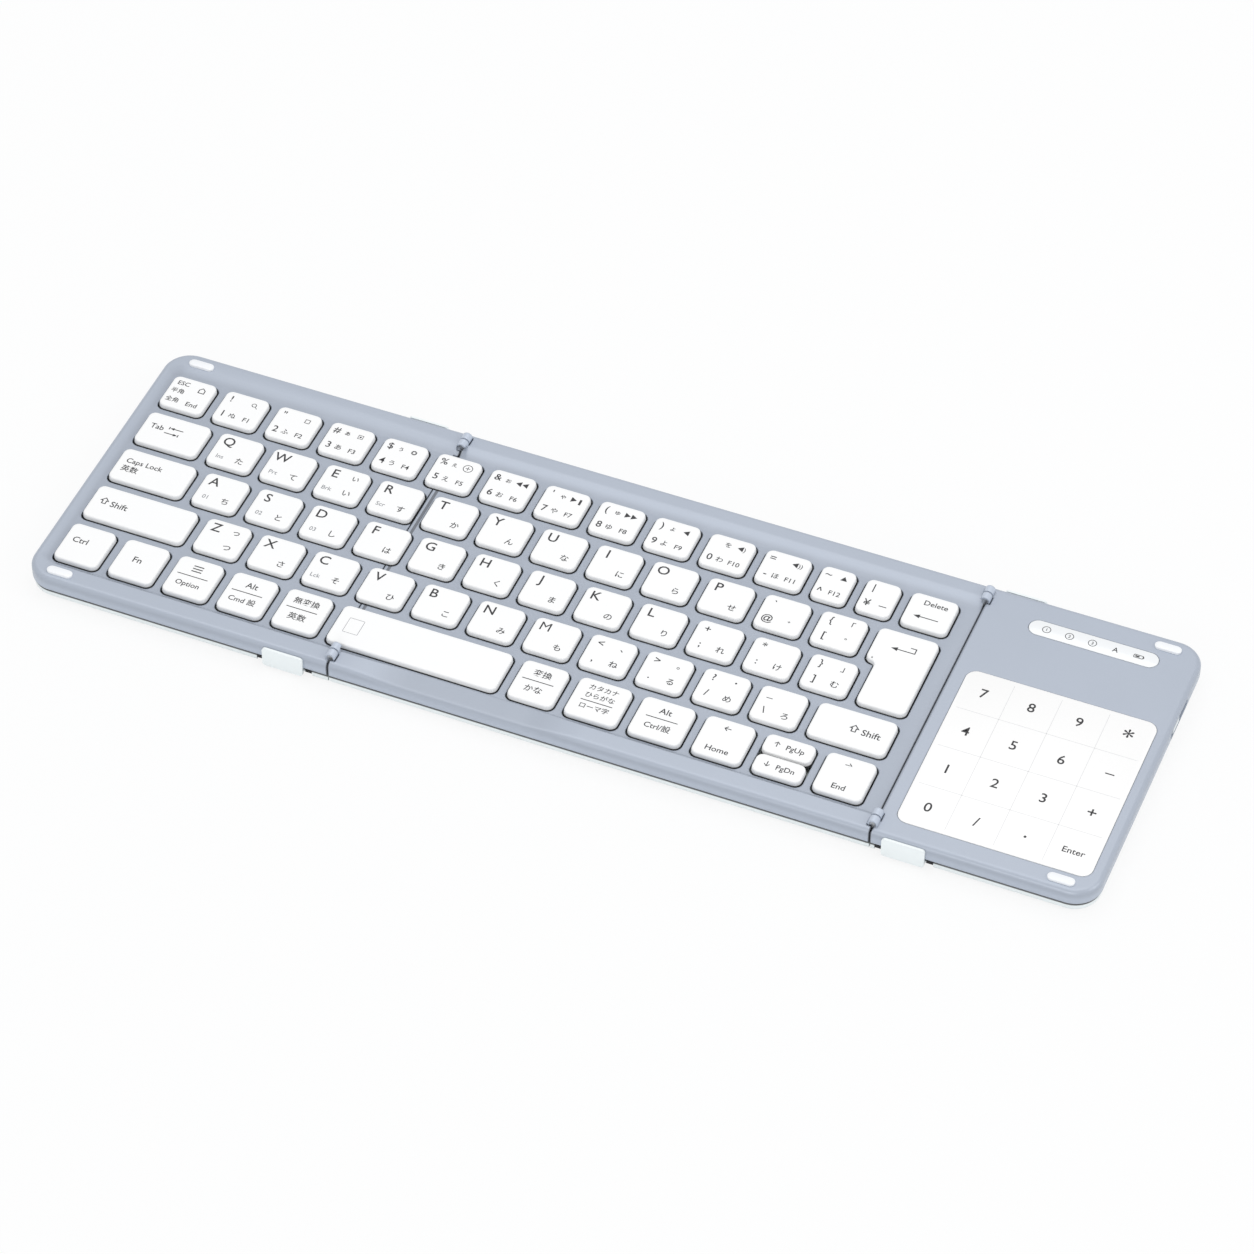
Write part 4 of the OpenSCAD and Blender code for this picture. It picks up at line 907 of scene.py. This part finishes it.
class TRIFOLD_OT_keys(bpy.types.Operator):
    """Builds every cap with its flared sides and rounded edge"""

    bl_idname = "trifold.keys"
    bl_label = "Keys"

    def execute(self, context):
        m = materials()
        s = context.scene.trifold_keys
        tree = cap_tree()
        rects = {node: [key_rect(row, i) for i in range(first, last + 1)]
                 for node, (row, first, last) in KEY_NODES.items()}
        for node in PAGE_MARKS:
            lo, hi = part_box(node)
            rects[node] = [(lo.x / MM, hi.x / MM, lo.y / MM, hi.y / MM)]
        for node, caps in rects.items():
            whole = bmesh.new()
            for width in sorted({round(x1 - x0, 4) for x0, x1, _, _ in caps}):
                alike = [r for r in caps if round(r[1] - r[0], 4) == width]
                depth = alike[0][3] - alike[0][2]
                bm = bmesh.new()
                add_cap(bm, box_corners(-width / 2, width / 2, -depth / 2, depth / 2), s)
                cap = mesh_from(bm, "Cap")
                holder = bpy.data.objects.new("Cap", cap)
                context.scene.collection.objects.link(holder)
                spots = [((x0 + x1) / 2, (y0 + y1) / 2, 0) for x0, x1, y0, y1 in alike]
                row = grown(node, tree, spots, Cap=holder, Plastic=m["Key plastic"])
                whole.from_mesh(row)
                bpy.data.meshes.remove(row)
                bpy.data.objects.remove(holder)
                bpy.data.meshes.remove(cap)
            piece(node + "_caps", mesh_from(whole, node + "_caps"), m["Key plastic"],
                  node + "_body", [node])

        x0, x1, top_front, top_back = key_rect(1, 13)
        low_x, _, low_front, _ = key_rect(2, 13)
        bm = bmesh.new()
        add_cap(bm, [(low_x, low_front), (x1, low_front), (x1, top_back), (x0, top_back),
                     (x0, top_front), (low_x, top_front)], s)
        piece("key_enter_cap", mesh_from(bm, "key_enter_cap"), m["Key plastic"], "key_enter_body",
              ["key_enter"])
        return {"FINISHED"}


class TRIFOLD_OT_legends(bpy.types.Operator):
    """Prints the legends on the caps"""

    bl_idname = "trifold.legends"
    bl_label = "Legends"

    def execute(self, context):
        height = context.scene.trifold_keys.print_height
        for node, (row, first, last) in KEY_NODES.items():
            bms = (bmesh.new(), bmesh.new())
            for i in range(first, last + 1):
                x0, _, _, y1 = key_rect(row, i)
                add_marks(bms, LEGENDS[row][i], x0, y1, CAP_TOP, height)
            marks_piece(node + "_print", bms, node + "_body")
        extra = {"key_enter": (key_rect(1, 13), ENTER_MARKS)}
        for node, marks in PAGE_MARKS.items():
            lo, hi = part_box(node)
            extra[node] = ((lo.x / MM, 0, 0, hi.y / MM), marks)
        for node, (rect, marks) in extra.items():
            bms = (bmesh.new(), bmesh.new())
            add_marks(bms, marks, rect[0], rect[3], CAP_TOP, height)
            marks_piece(node + "_print", bms, node + "_body")
        return {"FINISHED"}


def grid_tree():
    """Geometry Nodes: the touchpad's printed grid, as thin bars between its cells."""
    tree, given = new_tree("Printed grid",
                           (("Line width", 0.14 * MM), ("Line height", 0.012 * MM)),
                           Ink="Material")
    lines = add_node(tree, "GeometryNodeMeshToCurve", {"Mesh": given["Geometry"]})
    profile = add_node(tree, "GeometryNodeCurvePrimitiveQuadrilateral",
                       {"Width": given["Line width"], "Height": given["Line height"]})
    upright = add_node(tree, "GeometryNodeSetCurveNormal", {"Curve": lines.outputs["Curve"]},
                       mode="Z_UP")
    sweep = add_node(tree, "GeometryNodeCurveToMesh",
                     {"Curve": upright.outputs["Curve"], "Profile Curve": profile.outputs["Curve"],
                      "Fill Caps": True})
    return close_tree(tree, sweep.outputs["Mesh"], given["Ink"])


def pill_tree():
    """Geometry Nodes: a soft-edged pill on each point of a mesh, for the bumpers."""
    tree, given = new_tree("Pills",
                           (("Length", BUMPER_LENGTH * MM), ("Width", BUMPER_WIDTH * MM),
                            ("Height", 0.8 * MM), ("Edge", 0.25 * MM)),
                           Finish="Material")
    outline = add_node(tree, "GeometryNodeCurvePrimitiveQuadrilateral",
                       {"Width": given["Length"], "Height": given["Width"]})
    fillet = add_node(tree, "GeometryNodeFilletCurve",
                      {"Curve": outline.outputs["Curve"], "Count": 10,
                       "Radius": maths(tree, "MULTIPLY", given["Width"], 0.498)}, mode="POLY")
    fill = add_node(tree, "GeometryNodeFillCurve", {"Curve": fillet.outputs["Curve"]},
                    mode="NGONS")
    up = add_node(tree, "GeometryNodeExtrudeMesh",
                  {"Mesh": fill.outputs["Mesh"],
                   "Offset Scale": maths(tree, "SUBTRACT", given["Height"], given["Edge"])})
    geometry, top = up.outputs["Mesh"], up.outputs["Top"]
    for share, shrink in ((0.62, 0.93), (0.38, 0.86)):
        step = add_node(tree, "GeometryNodeExtrudeMesh",
                        {"Mesh": geometry, "Selection": top,
                         "Offset Scale": maths(tree, "MULTIPLY", given["Edge"], share)})
        size = add_node(tree, "GeometryNodeScaleElements",
                        {"Geometry": step.outputs["Mesh"], "Selection": step.outputs["Top"],
                         "Scale": shrink})
        geometry, top = size.outputs["Geometry"], step.outputs["Top"]
    bottom = add_node(tree, "GeometryNodeFlipFaces", {"Mesh": fill.outputs["Mesh"]})
    whole = add_node(tree, "GeometryNodeJoinGeometry", {"Geometry": geometry})
    tree.links.new(bottom.outputs["Mesh"], whole.inputs["Geometry"])
    weld = add_node(tree, "GeometryNodeMergeByDistance",
                    {"Geometry": whole.outputs["Geometry"], "Distance": 1e-6})
    pills = on_points(tree, given["Geometry"], weld.outputs["Geometry"])
    return close_tree(tree, pills, given["Finish"])


def grown(name, tree, points, edges=(), **inputs):
    """Runs a node tree on points and edges in millimetres, and returns the plain mesh."""
    seed = bpy.data.meshes.new(name + "_seed")
    seed.from_pydata([(x * MM, y * MM, z * MM) for x, y, z in points], list(edges), [])
    holder = bpy.data.objects.new(name + "_seed", seed)
    bpy.context.scene.collection.objects.link(holder)
    modifier = holder.modifiers.new("Nodes", "NODES")
    modifier.node_group = tree
    names = {i.name: i.identifier for i in tree.interface.items_tree
             if i.item_type == "SOCKET" and i.in_out == "INPUT"}
    for key, value in inputs.items():
        modifier[names[key.replace("_", " ")]] = value
    mesh = final_mesh(holder)
    bpy.data.objects.remove(holder)
    bpy.data.meshes.remove(seed)
    if not mesh.polygons:
        raise RuntimeError(name + " came out empty")
    return mesh


def pill_ring(cx, cy, w, h, r, steps=8):
    return rounded_ring(box_corners(cx - w / 2, cx + w / 2, cy - h / 2, cy + h / 2), r, 0.0, steps)


class TRIFOLD_OT_touchpad(bpy.types.Operator):
    """Builds the touchpad with its printed grid and digits"""

    bl_idname = "trifold.touchpad"
    bl_label = "Touchpad"

    def execute(self, context):
        m = materials()
        height = context.scene.trifold_keys.print_height
        lo, hi = (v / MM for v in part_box("touchpad"))
        cx, cy = (lo.x + hi.x) / 2, (lo.y + hi.y) / 2
        w, d = hi.x - lo.x, hi.y - lo.y
        bm = bmesh.new()
        loft(bm, [(pill_ring(cx, cy, w - less, d - less, corner), z) for less, corner, z in (
            (0, PAD_CORNER, lo.z), (0, PAD_CORNER, hi.z - 0.12),
            (0.08, PAD_CORNER - 0.04, hi.z - 0.04), (0.25, PAD_CORNER - 0.12, hi.z))])
        piece("touchpad_plate", mesh_from(bm, "touchpad_plate"), m["Pad surface"], "right_panel",
              ["touchpad"])

        z = hi.z + 0.006
        points, edges = [], []
        for k in (1, 2, 3):
            x, y = lo.x + w * k / 4, lo.y + d * k / 4
            for a, b in (((x, lo.y + 1.5), (x, hi.y - 1.5)), ((lo.x + 1.5, y), (hi.x - 1.5, y))):
                edges.append((len(points), len(points) + 1))
                points += [(*a, z), (*b, z)]
        mesh = grown("touchpad_grid", grid_tree(), points, edges, Ink=m["Grid ink"])
        piece("touchpad_grid", mesh, m["Grid ink"], "right_panel")

        bms = (bmesh.new(), bmesh.new())
        for r, row in enumerate(PAD_DIGITS):
            for c, text in enumerate(row):
                add_marks(bms, [(text, w * (c + 0.5) / 4, d * (r + 0.5) / 4,
                                 PAD_SIZES.get(text, 4.6), 0)], lo.x, hi.y, hi.z, height)
        marks_piece("touchpad_print", bms, "right_panel")
        return {"FINISHED"}


class TRIFOLD_OT_small_parts(bpy.types.Operator):
    """Builds the bumpers and indicator window, and finishes what stays as it is, the feet among
    them
    """

    bl_idname = "trifold.small_parts"
    bl_label = "Small parts"

    def execute(self, context):
        m = materials()
        tree = pill_tree()
        for side in ("left", "right"):
            node = side + "_bumpers"
            lo, hi = (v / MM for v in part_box(node))
            x, inset = (lo.x + hi.x) / 2, BUMPER_WIDTH / 2
            points = [(x, lo.y + inset, lo.z), (x, hi.y - inset, lo.z)]
            mesh = grown(node + "_pills", tree, points, Height=(hi.z - lo.z) * MM,
                         Finish=m["Bumper rubber"])
            piece(node + "_pills", mesh, m["Bumper rubber"], side + "_panel",
                  [node], sharp=45)

        lo, hi = (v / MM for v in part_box("indicator_window"))
        cx, cy = (lo.x + hi.x) / 2, (lo.y + hi.y) / 2
        flange = 2 * WINDOW_FLANGE
        w, d = hi.x - lo.x - flange, hi.y - lo.y - flange
        deck = hi.z - WINDOW_RISE
        bm = bmesh.new()
        loft(bm, [(pill_ring(cx, cy, w + more, d + more, (d + more) / 2 - 0.01), z)
                  for more, z in ((flange, lo.z), (flange, deck), (0, deck), (0, hi.z - 0.15),
                                  (-0.12, hi.z - 0.04), (-0.4, hi.z))])
        piece("indicator_window_lens", mesh_from(bm, "indicator_window_lens"),
              m["Window plastic"], "right_panel", ["indicator_window"])
        bms = (bmesh.new(), bmesh.new())
        for k, (text, size) in enumerate((("1", 1.5), ("2", 1.5), ("3", 1.5), ("A", 2.4),
                                          ("cell", 2.6))):
            at = w * (0.136 + 0.1775 * k)
            marks = [(text, at, d / 2, size, 0)]
            if text.isdigit():
                marks.append(("ringed", at, d / 2, 2.5, 0))
            add_marks(bms, marks, cx - w / 2, cy + d / 2, hi.z, 0.012 * MM)
        marks_piece("indicator_print", bms, "right_panel")

        for finish, nodes in (
            ("Plate steel", ("left_plate", "centre_plate")),
            ("Film", ("left_membrane", "centre_membrane")),
            ("Dome rubber", ("left_domes", "centre_domes")),
            ("White plastic", ("left_scissors", "centre_scissors", "power_switch")),
            ("Steel", ("left_screws", "centre_screws", "right_screws", "left_hinge_pins",
                       "right_hinge_pins", "usb_socket")),
            ("Foot rubber", ("left_feet", "centre_feet", "right_feet")),
            ("Circuit board", ("touchpad_board", "main_board")),
            ("Cell foil", ("battery",)),
        ):
            for node in nodes:
                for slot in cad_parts[node].material_slots:
                    slot.material = m[finish]
        return {"FINISHED"}


class TRIFOLD_PT_panel(bpy.types.Panel):
    """The keyboard's pieces in the sidebar"""

    bl_idname = "TRIFOLD_PT_panel"
    bl_label = "Tri-fold keyboard"
    bl_space_type = "VIEW_3D"
    bl_region_type = "UI"
    bl_category = "Tri-fold keyboard"

    def draw(self, context):
        for cls in OPERATORS:
            self.layout.operator(cls.bl_idname)
        for name in ("trifold_keys", "trifold_colours", "trifold_stage"):
            group = getattr(context.scene, name)
            for key in group.__annotations__:
                self.layout.prop(group, key)


OPERATORS = (TRIFOLD_OT_stage, TRIFOLD_OT_cases, TRIFOLD_OT_slot_shade, TRIFOLD_OT_keys,
             TRIFOLD_OT_legends, TRIFOLD_OT_touchpad, TRIFOLD_OT_small_parts)
SETTINGS = (("trifold_keys", TrifoldKeySettings), ("trifold_colours", TrifoldColourSettings),
            ("trifold_stage", TrifoldStageSettings))


def register():
    for name, cls in SETTINGS:
        bpy.utils.register_class(cls)
        setattr(bpy.types.Scene, name, PointerProperty(type=cls))
    for cls in (*OPERATORS, TRIFOLD_PT_panel):
        bpy.utils.register_class(cls)


def unregister():
    for cls in reversed((*OPERATORS, TRIFOLD_PT_panel)):
        bpy.utils.unregister_class(cls)
    for name, cls in reversed(SETTINGS):
        delattr(bpy.types.Scene, name)
        bpy.utils.unregister_class(cls)


def main():
    register()
    for cls in OPERATORS:
        area, call = cls.bl_idname.split(".")
        getattr(getattr(bpy.ops, area), call)()


if __name__ == "__main__":
    main()
